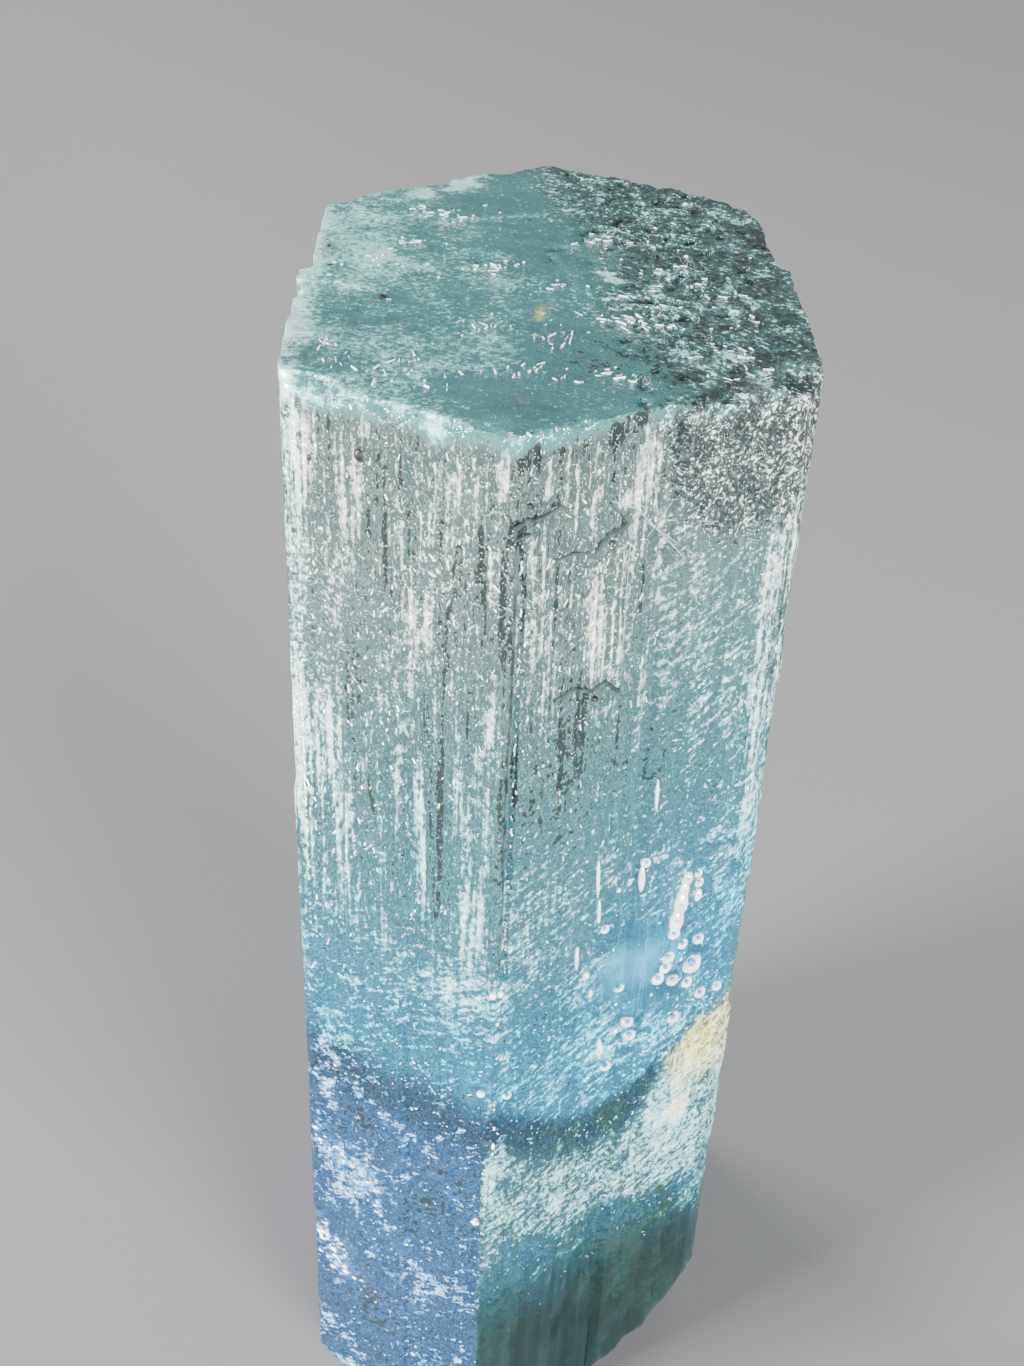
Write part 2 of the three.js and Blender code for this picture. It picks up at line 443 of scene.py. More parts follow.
def skin_at(p, colour):
    """The look of the skin at a place in millimetres from the c axis.

    It is three rows of four: the tone and how strongly streaks, grain and wisps change it; the tint, and
    whether the place is on the flat end; the colour of cloudy skin, and how clear the skin is.
    """
    x, y, z = p
    top = HEIGHT / MM
    cloud = grained(p, 2.0, 1.6, 4, 0)
    fleck = grained(p, 0.6, 1.3, 3, 31)
    band = grained(p, 0.4, 12, 3, 57)
    under = parting_height(x, y) - z

    slant = grained(Vector((x + z, 0.4 * y, x - z)), 0.55, 3.2, 3, 83)
    end = eased(z + 1.1 * (cloud - 0.5) + 0.7 * (fleck - 0.5), top - 0.6, top - 0.28)
    rim = eased(z, top - 1.0, top - 0.5) * eased(z, top - 0.03, top - 0.2)
    side = 1 - end
    behind = eased(y, -6.2, -1.5)
    spread = between(behind, 0.08, 3.0)
    right = eased(x + 0.78 + 3 * behind * (cloud - 0.5), -spread, spread)
    left = 1 - right
    soft = between(left, 0.15, 0.7)
    low = eased(under + 1.2 * left * (cloud - 0.5), -soft, soft)
    scaly = end * eased(x + 0.14 * y + 3.5 * (cloud - 0.5) + 2 * (fleck - 0.5), 0.6, 2.1)
    cloudy = end - scaly
    etched = side * eased(x + 2 * (cloud - 0.5) + 1.4 * (fleck - 0.5) + 0.45 * (z - 29.5), 2.1, 2.8)
    etched *= eased(z + fleck, 27.6, 28.6) * eased(y, -1, -3)
    sparkling = right * eased(x + 1.5 * (cloud - 0.5), 1.9, 2.6) * eased(y, -1, -3) * eased(x, 4.9, 4.4)
    wispy = max(right * eased(z + 3 * cloud, 26, 21), eased(z, 19.5, 16.5), sparkling) * (side - etched)
    streaky = side - etched - wispy
    mossy = side * near(p, (-4.3, -5.7, 25.4), 2.6, 0.6)
    clear = near(p, (3.0, -5.4, 16.2), 2.0, 0.5)

    ragged_z = z + 1.5 * (fleck - 0.5) + 3.5 * (cloud - 0.5) - 0.15 * x
    dark_corner = low * right * eased(ragged_z, 8.0, 4.6)
    pale_zone = low * right * eased(under + fleck, 1.2, 2.2) * (1 - eased(ragged_z, 8.2, 6.6))
    # Painted shade: a dark band just under the healed parting, where the parting keeps the light from above
    # off.
    painted_parting_shade = low * (1 - eased(under + fleck, 1.4, 2.6 - 0.7 * eased(x, 2.4, 3.6)))
    painted_parting_shade *= between(right, 1, 1 - eased(x, 4.0, 4.9))
    # Beside the right front edge the skin is lighter and more streaked: frosted ridges, with a painted
    # highlight along them.
    ridge_frost_and_highlight = side * beside_edge(p, CORNERS[5], 1.2, 0.5) * eased(z, 18, 23)
    # Painted glitter: a patch on the left face made lighter and more streaked, in place of sparkling
    # reflections.
    painted_glitter = near(p, (-5.0, -5.0, 22.0), 3.1, 0.6)
    smoky = side * near(p, (-1.9, -6.8, 27.6), 2.4, 0.7)
    pale_spots = left * max(near(p, (-4.3, -5.5, 9.1), 1.2, 0.7), near(p, (-4.6, -5.4, 5.1), 1.1, 0.7))
    clusters = low * left * max(eased(slant, 0.53, 0.63), pale_spots)
    # Painted highlight: a pale band along the left edge of the flat end and down the upper left front edge.
    painted_edge_highlight = max(end * eased(x, -4.4, -5.0), side * beside_edge(p, CORNERS[3], 0.7, 0.8) * eased(z, 17, 21))
    bar = side * eased(x, 0.7, 1.0) * eased(x, 1.9, 1.5) * eased(z, 23.4, 25) * eased(z, 28.4, 27.6)
    stain = near(p, (5.2, -4.0, 13.2), 2.3 + 2 * (cloud - 0.5), 0.6)
    stain *= eased(under + fleck + 0.6 * (x - 4.2), 0.6, 1.1) * low
    stain = max(stain, near(p, (4.1, -4.6, 10.7), 0.55, 0.8))
    stain = max(stain, beside_line(p, (-0.15, -2.1, top), (-0.08, -1.5, top), 0.15))
    # The groove beside the front edge is real. Its darker colour here is painted shade in the groove.
    painted_seam_shade = side * beside_edge(p, CORNERS[4], 0.3, 0.5) * eased(z, 17, 19) * eased(z, 28.9, 28.5)
    dark_line = max(beside_line(p, *line) for line in DARK_LINES)
    # Painted reflection: lines where the skin over silvery cracks is made lighter.
    silver = max(beside_line(p, *line) for line in PAINTED_SILVER_LINES) * eased(fleck, 0.36, 0.5)

    tone = 0.48 * side + 0.49 * cloudy + 0.445 * scaly - 0.1 * etched
    tone += 0.62 * streaky * (band - 0.5) + 0.3 * wispy * (cloud - 0.5)
    tone += 0.4 * (wispy * 0.3 + etched) * (fleck - 0.5)
    tone += 0.34 * end * (cloud - 0.5) - 0.02 * cloudy
    tone += 0.16 * scaly * (fleck - 0.5) + 0.7 * rim * (fleck - 0.52)
    tone += side * (0.04 * eased(z, 21, 18) - 0.03 * left * eased(z, 17.5, 15))
    tone -= 0.03 * low * left * eased(z, 7, 4)
    tone += 0.03 * left * eased(z, 24, 29) + 0.06 * end * eased(x, -0.5, -4.5) - 0.05 * rim
    tone += 0.11 * ridge_frost_and_highlight + 0.1 * painted_glitter - 0.05 * smoky
    # Lighter along the silver lines, and at a spot by a crack on the next line: painted reflections of thin
    # cracks.
    tone += 0.13 * clusters + 0.06 * pale_zone + 0.2 * silver
    tone += 0.26 * near(p, (1.5, -6.1, 28.9), 0.25, 0.5) + 0.09 * stain * side + 0.12 * painted_edge_highlight + 0.06 * bar
    tone += 0.2 * low * left * (fleck - 0.5) + 0.14 * low * left * (cloud - 0.5)
    tone -= 0.02 * streaky * right + 0.05 * end * near(p, (0.9, -3.8, top), 2.6, 0.8)
    tone -= 0.09 * side * near(p, (1.0, -6.2, 22.6), 3.4, 0.8)
    # Below the parting at the left the skin is darker too: partly its own violet, partly painted shade under
    # the parting.
    tone -= 0.12 * painted_seam_shade + 0.15 * dark_line + 0.055 * low * left
    # The painted shade under the parting darkens the right side as well.
    tone -= 0.12 * dark_corner + 0.05 * painted_parting_shade * right + 0.03 * mossy
    streaks = 1.5 * streaky + 0.5 * etched + 0.9 * ridge_frost_and_highlight + 0.4 * painted_glitter + 0.6 * smoky + 0.35 * wispy
    grain = 0.3 * streaky + 0.6 * wispy + 2.0 * etched + 0.45 * cloudy + 1.15 * scaly + 0.5 * mossy
    wisps = 0.75 * wispy + 0.14 * cloudy + 0.85 * scaly + 0.25 * streaky
    calm = max(dark_corner, 0.6 * painted_parting_shade * right)
    wisps *= (1 - 0.85 * calm) * (1 - 0.3 * pale_zone)
    grain *= 1 - 0.7 * calm
    streaks *= (1 - 0.7 * dark_corner) * (1 - 0.55 * mossy)

    blue_z = z - 2.6 * right * eased(x, 0.8, 3.4)
    tint = between(eased(blue_z, 28, 19), Vector(colour.upper), Vector(colour.middle))
    tint = between(eased(blue_z, 20, 14), tint, Vector(colour.lower))
    tint = between(low * left, tint, Vector(colour.violet))
    # The deep tint is the colour of the painted shade under the parting.
    tint = between(painted_parting_shade, tint, Vector(colour.deep))
    moss = max(near(p, (4.2, -4.5, 7.4), 2.0, 0.8), 0.5 * (1 - eased(ragged_z, 10.5, 13)))
    moss *= low * right * eased(fleck, 0.42, 0.6)
    tint = between(pale_zone * 0.6, tint, Vector(colour.pale_tint))
    tint = between(moss, tint, Vector(colour.moss))
    tint = between(dark_corner, tint, Vector(colour.green))
    tint = between(end, tint, Vector(colour.end))
    tint = between(max(scaly, etched) * 0.7, tint, Vector(colour.scales))
    tint = between(stain, tint, Vector(colour.stain))
    milk = between(eased(blue_z, 28, 19), Vector(colour.warm_milk), Vector(colour.milk))
    milk = between(eased(blue_z, 19, 14), milk, Vector(colour.low_milk))
    milk = between(low * left, milk, Vector(colour.violet_milk))
    milk = between(pale_zone * 0.8, milk, Vector(colour.pale_milk))
    milk = between(dark_corner * 0.8, milk, Vector(colour.moss))
    milk = between(end, milk, Vector(colour.end_milk))
    # The iron stain is the crystal's own. Its paler yellow at the outer edge is a painted highlight.
    stain_milk_with_highlight = between(eased(x, 4.6, 5.1), Vector(colour.stain), Vector(colour.stain_edge_highlight))
    milk = between(stain * 0.95, milk, stain_milk_with_highlight)
    milk = between(bar * 0.7, milk, Vector(colour.warm_bar))
    # The pale colour of the painted highlight along the left edges.
    milk = between(painted_edge_highlight, milk, Vector(colour.painted_edge_highlight_colour))
    return (
        (tone, streaks * (1 - clear), grain * (1 - clear), wisps * (1 - clear)),
        (*tint, end),
        (*milk, clear),
    )


def record_skin(mesh, colour):
    """Keeps the look of the skin on the mesh, for its material to read."""
    layers = [mesh.attributes.new(name, "FLOAT_COLOR", "POINT") for name in SKIN_LAYERS]
    for index, vert in enumerate(mesh.vertices):
        for layer, value in zip(layers, skin_at((vert.co - AXIS) / MM, colour)):
            layer.data[index].color = value


# ------------------------------------------------------------------ what is sealed in the crystal


def gather(makers, chunk=120):
    """One bmesh from many small shapes, each made by a function that takes a bmesh."""
    whole = bmesh.new()
    for start in range(0, len(makers), chunk):
        part = bmesh.new()
        for make in makers[start : start + chunk]:
            make(part)
        holder = bpy.data.meshes.new("holder")
        part.to_mesh(holder)
        part.free()
        whole.from_mesh(holder)
        bpy.data.meshes.remove(holder)
    return whole


def placed(place, turn, size):
    """A matrix from a place in millimetres, a turn and a size in millimetres along each axis."""
    where = Matrix.Translation(AXIS + Vector(place) * MM)
    return where @ turn.to_matrix().to_4x4() @ Matrix.Diagonal((*(s * MM for s in size), 1))


def droplet(place, turn, size, detail=1):
    matrix = placed(place, turn, size)
    return lambda bm: bmesh.ops.create_icosphere(bm, subdivisions=detail, radius=1, matrix=matrix)


def plate(place, turn, size, sides=6):
    matrix = placed(place, turn, size)
    return lambda bm: bmesh.ops.create_cone(
        bm, cap_ends=True, segments=sides, radius1=1, radius2=0.8, depth=2, matrix=matrix
    )


def upright(lean, spin):
    """A turn that leans a little off the c axis."""
    return Quaternion((math.cos(spin), math.sin(spin), 0), lean)


def facing(direction):
    return Vector(direction).to_track_quat("Z", "Y")


def face_span(face):
    """Where a face starts and ends, along it, in millimetres."""
    return [along(face).dot(edge) / MM for edge in (upright_edge(face - 1), upright_edge(face))]


def boxed(place, radius):
    """A place moved in, where it must be, so that a shape there stays inside the CAD model's box."""
    low, high = ((corner - AXIS) / MM for corner in CAD_BOX)
    return Vector([ranged(place[i], low[i] + radius, high[i] - radius) for i in range(3)])


def on_skin(face, place, z, under=0.0):
    """A point on the skin of a prism face, or a little under it, in millimetres."""
    return at_face(face, place, z, skin_depth(face, place * MM, z * MM) / MM + under)


def inside_prism(x, y, inset):
    """Whether a point, in millimetres from the c axis, is at least that far inside every face."""
    point = Vector((x, y, 0)) * MM
    return all(outward(i).dot(point) < full_reach(i) - 0.35 * MM - inset * MM for i in range(6))


def at_face(face, place, z, under):
    """A point under a prism face, in millimetres: how far along it, how high and how far in."""
    spot = outward(face) * (full_reach(face) / MM - under) + along(face) * place
    return Vector((spot.x, spot.y, z))


# Veils of droplets in healed cracks: middle, direction that the veil faces, half length, half width, number
# of droplets, their radius, and how much the veil waves. Millimetres.
VEILS = (
    ((-2.0, -3.6, 18.0), (0.55, -0.6, 0.55), 3.6, 2.6, 900, 0.045, 0.5),
    ((1.6, -2.8, 16.2), (-0.5, -0.5, 0.7), 3.4, 2.4, 800, 0.045, 0.5),
    ((-1.4, 1.8, 15.0), (0.3, -0.8, 0.5), 3.4, 3.6, 900, 0.05, 0.6),
    ((-2.4, -3.4, 8.0), (0.8, -0.5, 0.25), 4.2, 2.6, 1300, 0.055, 0.6),
    ((-2.9, -3.6, 4.5), (0.3, -0.8, 0.5), 2.4, 2.8, 900, 0.06, 0.5),
    ((2.4, -2.4, 9.6), (-0.6, -0.6, 0.4), 3.2, 1.8, 600, 0.05, 0.4),
    ((0.8, 3.2, 23.0), (0.4, -0.7, 0.5), 3.8, 2.6, 700, 0.045, 0.7),
    ((-2.2, 0.5, 27.6), (0.2, -0.3, 0.93), 2.6, 3.4, 800, 0.04, 0.4),
)


def veil_droplets(rng, middle, facing_to, half_length, half_width, number, radius, wave):
    """Droplets strewn over a wavy sheet, in the winding bands of a healed crack."""
    turn = facing(facing_to)
    found = []
    tries = 0
    while len(found) < number and tries < number * 30:
        tries += 1
        u, v = rng.uniform(-1, 1), rng.uniform(-1, 1)
        if u * u + v * v > 1:
            continue
        across = Vector((u * half_length, v * half_width, 0))
        bands = noise.noise(Vector((across.x * 0.9, across.y * 0.9, number))) * 9
        if 0.5 + 0.5 * math.sin(bands) < rng.uniform(0.1, 1.1):
            continue
        across.z = wave * noise.noise(across / 2.2 + Vector((number, 0, 0))) * 2
        spot = Vector(middle) + turn @ across
        if not inside_prism(spot.x, spot.y, 0.15) or not 0.8 < spot.z < HEIGHT / MM - 0.9:
            continue
        size = radius * rng.uniform(0.35, 1.0) ** 1.5
        spin = turn @ Quaternion((0, 0, 1), rng.uniform(0, math.pi))
        found.append(droplet(spot, spin, (size * rng.uniform(1, 2.2), size, size * 0.45)))
    return found


def build_veils(material):
    for index, veil in enumerate(VEILS):
        rng = random.Random(100 + index)
        bm = gather(veil_droplets(rng, *veil))
        finish_mesh(bm, f"healed_veil_{index + 1}", material)


# Streams of bubbles under the lower front faces: face, place along it and height at the start and at the end,
# how far in, spread, number, and smallest and largest radius. Millimetres.
BUBBLE_STREAMS = (
    (5, 0.5, 16.9, 1.0, 15.0, 0.12, 0.45, 90, 0.03, 0.13),
    (5, -1.8, 16.6, -1.6, 12.6, 0.1, 0.16, 60, 0.03, 0.09),
    (5, -0.6, 15.6, -1.2, 12.8, 0.15, 0.25, 60, 0.03, 0.11),
    (5, 0.7, 19.2, 0.3, 16.8, 0.3, 0.1, 30, 0.03, 0.06),
    (5, -4.3, 19.0, -4.2, 9.0, 0.2, 0.12, 46, 0.025, 0.06),
    (4, -1.4, 12.8, 2.8, 9.4, 0.1, 0.35, 90, 0.04, 0.14),
    (4, -2.2, 10.4, 1.6, 6.2, 0.1, 0.35, 90, 0.04, 0.15),
    (4, -1.8, 6.6, 2.4, 2.0, 0.1, 0.4, 90, 0.04, 0.13),
    (4, -1.7, 10.0, 0.1, 8.5, 0.08, 0.45, 130, 0.05, 0.2),
    (4, -1.9, 6.2, -0.6, 4.7, 0.08, 0.45, 110, 0.05, 0.2),
    (5, 1.6, 21.0, 2.2, 16.5, 0.3, 0.25, 30, 0.03, 0.08),
)
# Single bubbles just under the right front face: place along it, height, radius, half height. Millimetres.
NEAR_BUBBLES = (
    (1.11, 15.77, 0.3, 0.3),
    (1.22, 16.53, 0.17, 0.17),
    (0.75, 16.58, 0.17, 0.17),
    (0.33, 16.01, 0.18, 0.18),
    (0.15, 15.73, 0.19, 0.19),
    (0.58, 15.5, 0.18, 0.18),
    (1.02, 15.22, 0.17, 0.17),
    (1.48, 14.64, 0.17, 0.17),
    (0.73, 14.19, 0.21, 0.18),
    (0.38, 16.3, 0.2, 0.2),
    (0.97, 18.65, 0.13, 0.13),
    (1.03, 18.35, 0.15, 0.16),
    (1.05, 17.95, 0.12, 0.2),
    (0.66, 18.65, 0.14, 0.2),
    (0.61, 18.3, 0.15, 0.3),
    (0.56, 17.9, 0.21, 0.42),
    (0.5, 17.4, 0.22, 0.42),
    (0.47, 17.02, 0.18, 0.18),
    (-0.54, 19.57, 0.12, 0.13),
    (-0.6, 19.1, 0.08, 0.4),
    (-1.38, 17.83, 0.13, 0.13),
    (-1.09, 18.87, 0.07, 0.07),
    (-0.57, 14.61, 0.17, 0.15),
    (-0.47, 14.12, 0.18, 0.16),
    (-0.99, 13.19, 0.18, 0.13),
    (-1.22, 13.93, 0.08, 0.34),
    (1.99, 14.62, 0.15, 0.15),
    (-0.81, 15.71, 0.16, 0.1),
    (-1.8, 16.6, 0.1, 0.12),
    (-4.3, 17.15, 0.08, 0.09),
    (-4.1, 17.15, 0.08, 0.09),
    (-3.8, 13.75, 0.13, 0.1),
    (-4.5, 14.0, 0.1, 0.09),
    (-0.45, 21.4, 0.05, 0.5),
    (-1.7, 19.6, 0.05, 0.7),
    (-1.6, 18.5, 0.05, 0.4),
    (-2.1, 17.3, 0.06, 0.4),
)


# Where the painted centre of a bubble goes, as a share of its radius: outward and upward, toward the camera.
# A blue cap there stands in for the clear view through the bubble's middle.
PAINTED_CENTRE = Vector((0.12, -0.66, 0.48))


def build_bubbles(material, painted_centre_material):
    rng = random.Random(7)
    makers = []
    hearts = []
    for face, place_a, z_a, place_b, z_b, under, spread, number, small, large in BUBBLE_STREAMS:
        for _ in range(number):
            share = rng.random()
            start, end = face_span(face)
            place = place_a + share * (place_b - place_a) + rng.gauss(0, spread * 0.5)
            place = ranged(place, start + 0.2, end - 0.2)
            z = z_a + share * (z_b - z_a) + rng.gauss(0, spread * 0.6)
            radius = small + (large - small) * rng.random() ** 2.5
            spot = boxed(on_skin(face, place, z, 0.7 * radius + abs(rng.gauss(0, under))), radius)
            if inside_prism(spot.x, spot.y, -0.3):
                tall = radius * rng.choice((1, 1, 1.1, 1.5, 2.4) if face == 5 else (0.4, 0.5, 0.7))
                turn = upright(rng.uniform(0, 0.2), rng.uniform(0, 6.28))
                makers.append(droplet(spot, turn, (radius, radius, tall), 2))
    for place, z, radius, half_height in NEAR_BUBBLES:
        spot = boxed(on_skin(5, place, z, 0.4 * radius), radius * 1.1)
        makers.append(droplet(spot, upright(0.06, place), (radius, radius, half_height), 3))
        # A blue cap on the camera side of each larger bubble: a painted see-through centre.
        if radius > 0.1:
            hearts.append(droplet(spot + PAINTED_CENTRE * radius, upright(0, 0), [0.36 * radius] * 3, 2))
    finish_mesh(gather(makers), "bubbles", material, sharp_over=math.pi)
    finish_mesh(gather(hearts), "painted_bubble_centres", painted_centre_material, sharp_over=math.pi)


def build_growth_tubes(inclusions, material):
    """Hair-thin hollow tubes along the c axis, most of them near the skin of the upper half."""
    rng = random.Random(21)
    makers = []
    while len(makers) < inclusions.tubes:
        face = rng.choice((0, 0, 1, 2, 3, 4, 4, 4, 5, 5, 5, 5))
        place = rng.uniform(-4.5, 4.5)
        length = rng.uniform(0.6, 2.2) + rng.random() ** 4 * 7
        z = rng.triangular(9, 30, 25)
        spot = at_face(face, place, z, 0.45 + rng.random() ** 2 * 2.6)
        top_limit = HEIGHT / MM - 1.0
        if not inside_prism(spot.x, spot.y, 0.05) or z + length / 2 > top_limit or z - length / 2 < 2:
            continue
        radius = rng.uniform(0.006, 0.02)
        turn = upright(rng.uniform(0, 0.02), rng.uniform(0, 6.28))
        makers.append(plate(spot, turn, (radius, radius * 1.6, length / 2), sides=5))
    finish_mesh(gather(makers), "growth_tubes", material)


# Zones of bright flakes: middle, half sizes, number, size of a flake. Millimetres.
FLAKE_ZONES = (
    ((3.0, 0.2, 29.2), (2.2, 4.2, 0.9), 900, 0.10),
    ((-1.8, 4.6, 29.5), (1.2, 1.2, 0.7), 160, 0.14),
    ((-2.0, 0.0, 29.4), (3.0, 5.0, 0.8), 420, 0.08),
    ((-3.4, -4.4, 25.5), (1.6, 1.4, 4.0), 420, 0.07),
    ((0.4, -5.6, 25.5), (1.6, 1.2, 4.4), 520, 0.07),
    ((3.2, -3.8, 26.0), (1.6, 1.6, 4.4), 700, 0.08),
    ((-4.0, -4.4, 20.8), (0.8, 1.0, 2.8), 420, 0.09),
    ((-2.6, -4.6, 6.5), (2.4, 1.8, 5.0), 900, 0.12),
    ((3.2, -3.4, 11.0), (1.6, 1.4, 2.4), 320, 0.10),
    ((0.0, 0.0, 20.0), (4.6, 5.6, 8.0), 700, 0.06),
)


def build_flakes(material):
    """Small bright flakes: thin gaps that flash as they turn to the light."""
    rng = random.Random(33)
    for index, (middle, half, number, size) in enumerate(FLAKE_ZONES):
        makers = []
        tries = 0
        while len(makers) < number and tries < number * 20:
            tries += 1
            spot = Vector([m + h * ranged(rng.gauss(0, 0.5), -1, 1) for m, h in zip(middle, half)])
            if not inside_prism(spot.x, spot.y, 0.12) or spot.z > HEIGHT / MM - 0.75:
                continue
            way = Vector((rng.gauss(0, 1), rng.gauss(0, 1), rng.gauss(0, 0.7)))
            wide = size * rng.uniform(0.3, 1.0)
            makers.append(plate(spot, facing(way), (wide, wide * rng.uniform(0.4, 1), 0.004)))
        finish_mesh(gather(makers), f"flakes_{index + 1}", material)


# Thin cracks: middle, direction faced, half length, half width, bend. Millimetres.
CRACKS = (
    ((1.1, -4.9, 28.2), (-0.5, -0.5, 0.7), 1.2, 0.7, 0.5),
    ((1.6, -4.6, 28.9), (0.7, -0.6, 0.2), 0.35, 0.5, 0.2),
    ((1.3, -4.9, 24.5), (-0.2, -0.4, 0.9), 1.0, 0.5, 0.3),
    ((-1.9, 4.7, 30.0), (0.5, 0.3, 0.85), 1.5, 0.7, 0.4),
    ((-0.7, 3.8, 29.9), (-0.3, 0.5, 0.8), 1.0, 0.5, 0.4),
    ((1.4, 2.5, 29.8), (0.2, -0.5, 0.85), 0.8, 0.5, 0.3),
    ((3.4, -3.2, 27.4), (0.1, -0.3, 0.95), 1.8, 1.2, 0.5),
    ((-1.2, -5.6, 28.9), (0.1, -0.9, 0.4), 0.7, 0.4, 0.3),
    ((-3.0, -3.6, 26.8), (0.7, -0.4, 0.6), 1.4, 0.8, 0.5),
    ((3.6, -2.6, 12.8), (-0.4, -0.5, 0.8), 1.7, 1.2, 0.5),
    ((-2.0, 0.6, 22.0), (0.9, -0.3, 0.3), 2.4, 1.2, 0.7),
    ((2.2, 2.0, 24.6), (-0.8, -0.4, 0.5), 2.0, 1.4, 0.7),
)


def bent_film(name, middle, direction, half_length, half_width, bend, seed, material, cells=26):
    """A thin curved film with a ragged outline and the ripples of a shell-like break."""
    rng = random.Random(seed)
    bm = bmesh.new()
    bmesh.ops.create_grid(bm, x_segments=cells, y_segments=cells, size=1)
    for _ in range(9):
        way = rng.uniform(0, 2 * math.pi)
        edge = Vector((math.cos(way), math.sin(way), 0))
        bmesh.ops.bisect_plane(
            bm,
            geom=bm.verts[:] + bm.edges[:] + bm.faces[:],
            plane_co=edge * rng.uniform(0.62, 0.98),
            plane_no=edge,
            clear_outer=True,
        )
    turn = facing(direction)
    for vert in bm.verts:
        x, y = vert.co.x, vert.co.y
        from_origin = math.hypot(x + 1.1, y + 0.3)
        ripple = 0.035 * math.sin(from_origin * 16)
        bulge = bend * (1 - x * x - 0.6 * y * y) + ripple * half_width
        rough = 0.12 * noise.noise(Vector((x * 2, y * 2, seed)))
        flat = Vector((x * half_length, y * half_width, (bulge + rough) * 0.6))
        vert.co = AXIS + (Vector(middle) + turn @ flat) * MM
    bmesh.ops.solidify(bm, geom=bm.faces[:], thickness=0.008 * MM)
    bmesh.ops.recalc_face_normals(bm, faces=bm.faces[:])
    return finish_mesh(bm, name, material, sharp_over=math.radians(60))


def build_cracks(material):
    for index, crack in enumerate(CRACKS):
        bent_film(f"crack_{index + 1}", *crack, 50 + index, material)


# Cracks that reach the skin of the right front face, as a radius, then places along the face and heights; and
# bright slivers beside them. Millimetres.
SKIN_CRACKS = (
    (0.045, ((-3.3, 28.02), (-2.95, 28.06), (-2.6, 27.98), (-2.44, 27.9))),
    (0.075, ((-2.44, 27.88), (-2.3, 28.1), (-2.1, 28.24), (-1.84, 28.3), (-1.7, 28.42))),
    (0.05, ((-4.25, 28.95), (-4.0, 29.03), (-3.8, 29.0), (-3.34, 29.12))),
    (0.04, ((-4.25, 28.95), (-4.2, 28.66), (-3.9, 28.72))),
    (0.05, ((-3.16, 24.77), (-2.7, 24.9), (-2.3, 24.72), (-1.95, 24.8), (-1.61, 24.5))),
    (0.04, ((-1.7, 28.42), (-2.12, 28.93))),
    (0.04, ((-4.12, 28.5), (-4.13, 26.6), (-4.12, 24.4), (-4.13, 22.0), (-4.12, 19.8), (-4.13, 17.7))),
)
SLIVERS = (
    ((-2.12, 28.96), (-1.64, 28.7), 0.02),
    ((-1.7, 28.42), (-1.62, 28.08), 0.055),
    ((-1.52, 28.64), (-0.4, 27.35), 0.016),
    ((-1.38, 28.39), (-0.16, 27.35), 0.014),
    ((-1.18, 29.09), (-1.03, 28.3), 0.014),
    ((-1.23, 28.02), (-0.71, 28.65), 0.014),
    ((-1.03, 28.3), (0.3, 28.0), 0.014),
    ((-0.9, 28.7), (0.4, 28.5), 0.012),
    ((-1.62, 28.0), (-1.6, 25.4), 0.012),
)


def sliver(start, end, radius):
    """A thin rod on the skin of the right front face."""
    ends = [on_skin(5, place, z, -0.02) for place, z in (start, end)]
    way = ends[1] - ends[0]
    return plate((ends[0] + ends[1]) / 2, facing(way), (radius, radius, way.length / 2 + radius / 2))


def build_skin_cracks(dark, bright):
    makers = [sliver(*pair, radius) for radius, crack in SKIN_CRACKS for pair in zip(crack, crack[1:])]
    finish_mesh(gather(makers), "skin_cracks", dark)
    finish_mesh(gather([sliver(*line) for line in SLIVERS]), "slivers", bright)


# Painted glints: small, nearly white plates that lie on the skin and stand in for highlights. For each zone:
# the face (None for the flat end), middle, half sizes, number, and length and lean of a glint. Millimetres,
# with places along a face and heights, or x and y on the flat end.
GLINT_ZONES = (
    (None, (1.38, 2.27), (0.35, 0.2), 16, 0.2, 0.2),
    (None, (-1.02, 0.64), (0.6, 0.25), 20, 0.16, -0.5),
    (None, (-2.81, 1.95), (0.4, 0.2), 10, 0.14, 0.2),
    (None, (0.31, -0.36), (0.25, 0.2), 8, 0.14, 0.1),
    (None, (1.74, -2.01), (0.6, 0.45), 34, 0.2, -0.6),
    (None, (3.0, 0.0), (1.2, 2.0), 60, 0.16, -0.3),
    (None, (3.42, -3.58), (0.6, 0.6), 26, 0.18, -0.4),
    (None, (-4.4, -3.9), (0.6, 0.5), 26, 0.22, 1.6),
    (None, (-2.7, -4.8), (0.9, 0.5), 34, 0.22, 1.6),
    (None, (-1.17, -2.5), (0.6, 0.5), 14, 0.2, 1.5),
    (None, (0.34, -2.9), (0.3, 0.4), 14, 0.26, 1.5),
    (None, (-0.3, -4.5), (0.8, 0.4), 16, 0.16, 1.2),
    (None, (1.25, -4.6), (0.7, 0.25), 18, 0.22, 0.3),
    (None, (-3.5, 0.1), (0.8, 0.8), 22, 0.12, 0.2),
    (None, (-2.1, 3.7), (0.7, 0.4), 26, 0.16, 0.4),
    (5, (-3.1, 26.0), (1.6, 3.4), 150, 0.16, 1.57),
    (5, (1.6, 23.0), (1.4, 4.0), 110, 0.09, 0.9),
    (5, (-2.6, 19.0), (1.8, 3.0), 80, 0.1, 1.57),
    (5, (0.8, 13.6), (1.4, 2.0), 90, 0.09, 0.6),
    (4, (-1.6, 21.8), (1.1, 3.0), 190, 0.13, 1.57),
    (4, (0.9, 25.6), (1.7, 3.2), 150, 0.15, 1.57),
    (4, (0.5, 16.5), (1.8, 3.4), 130, 0.09, 0.8),
)


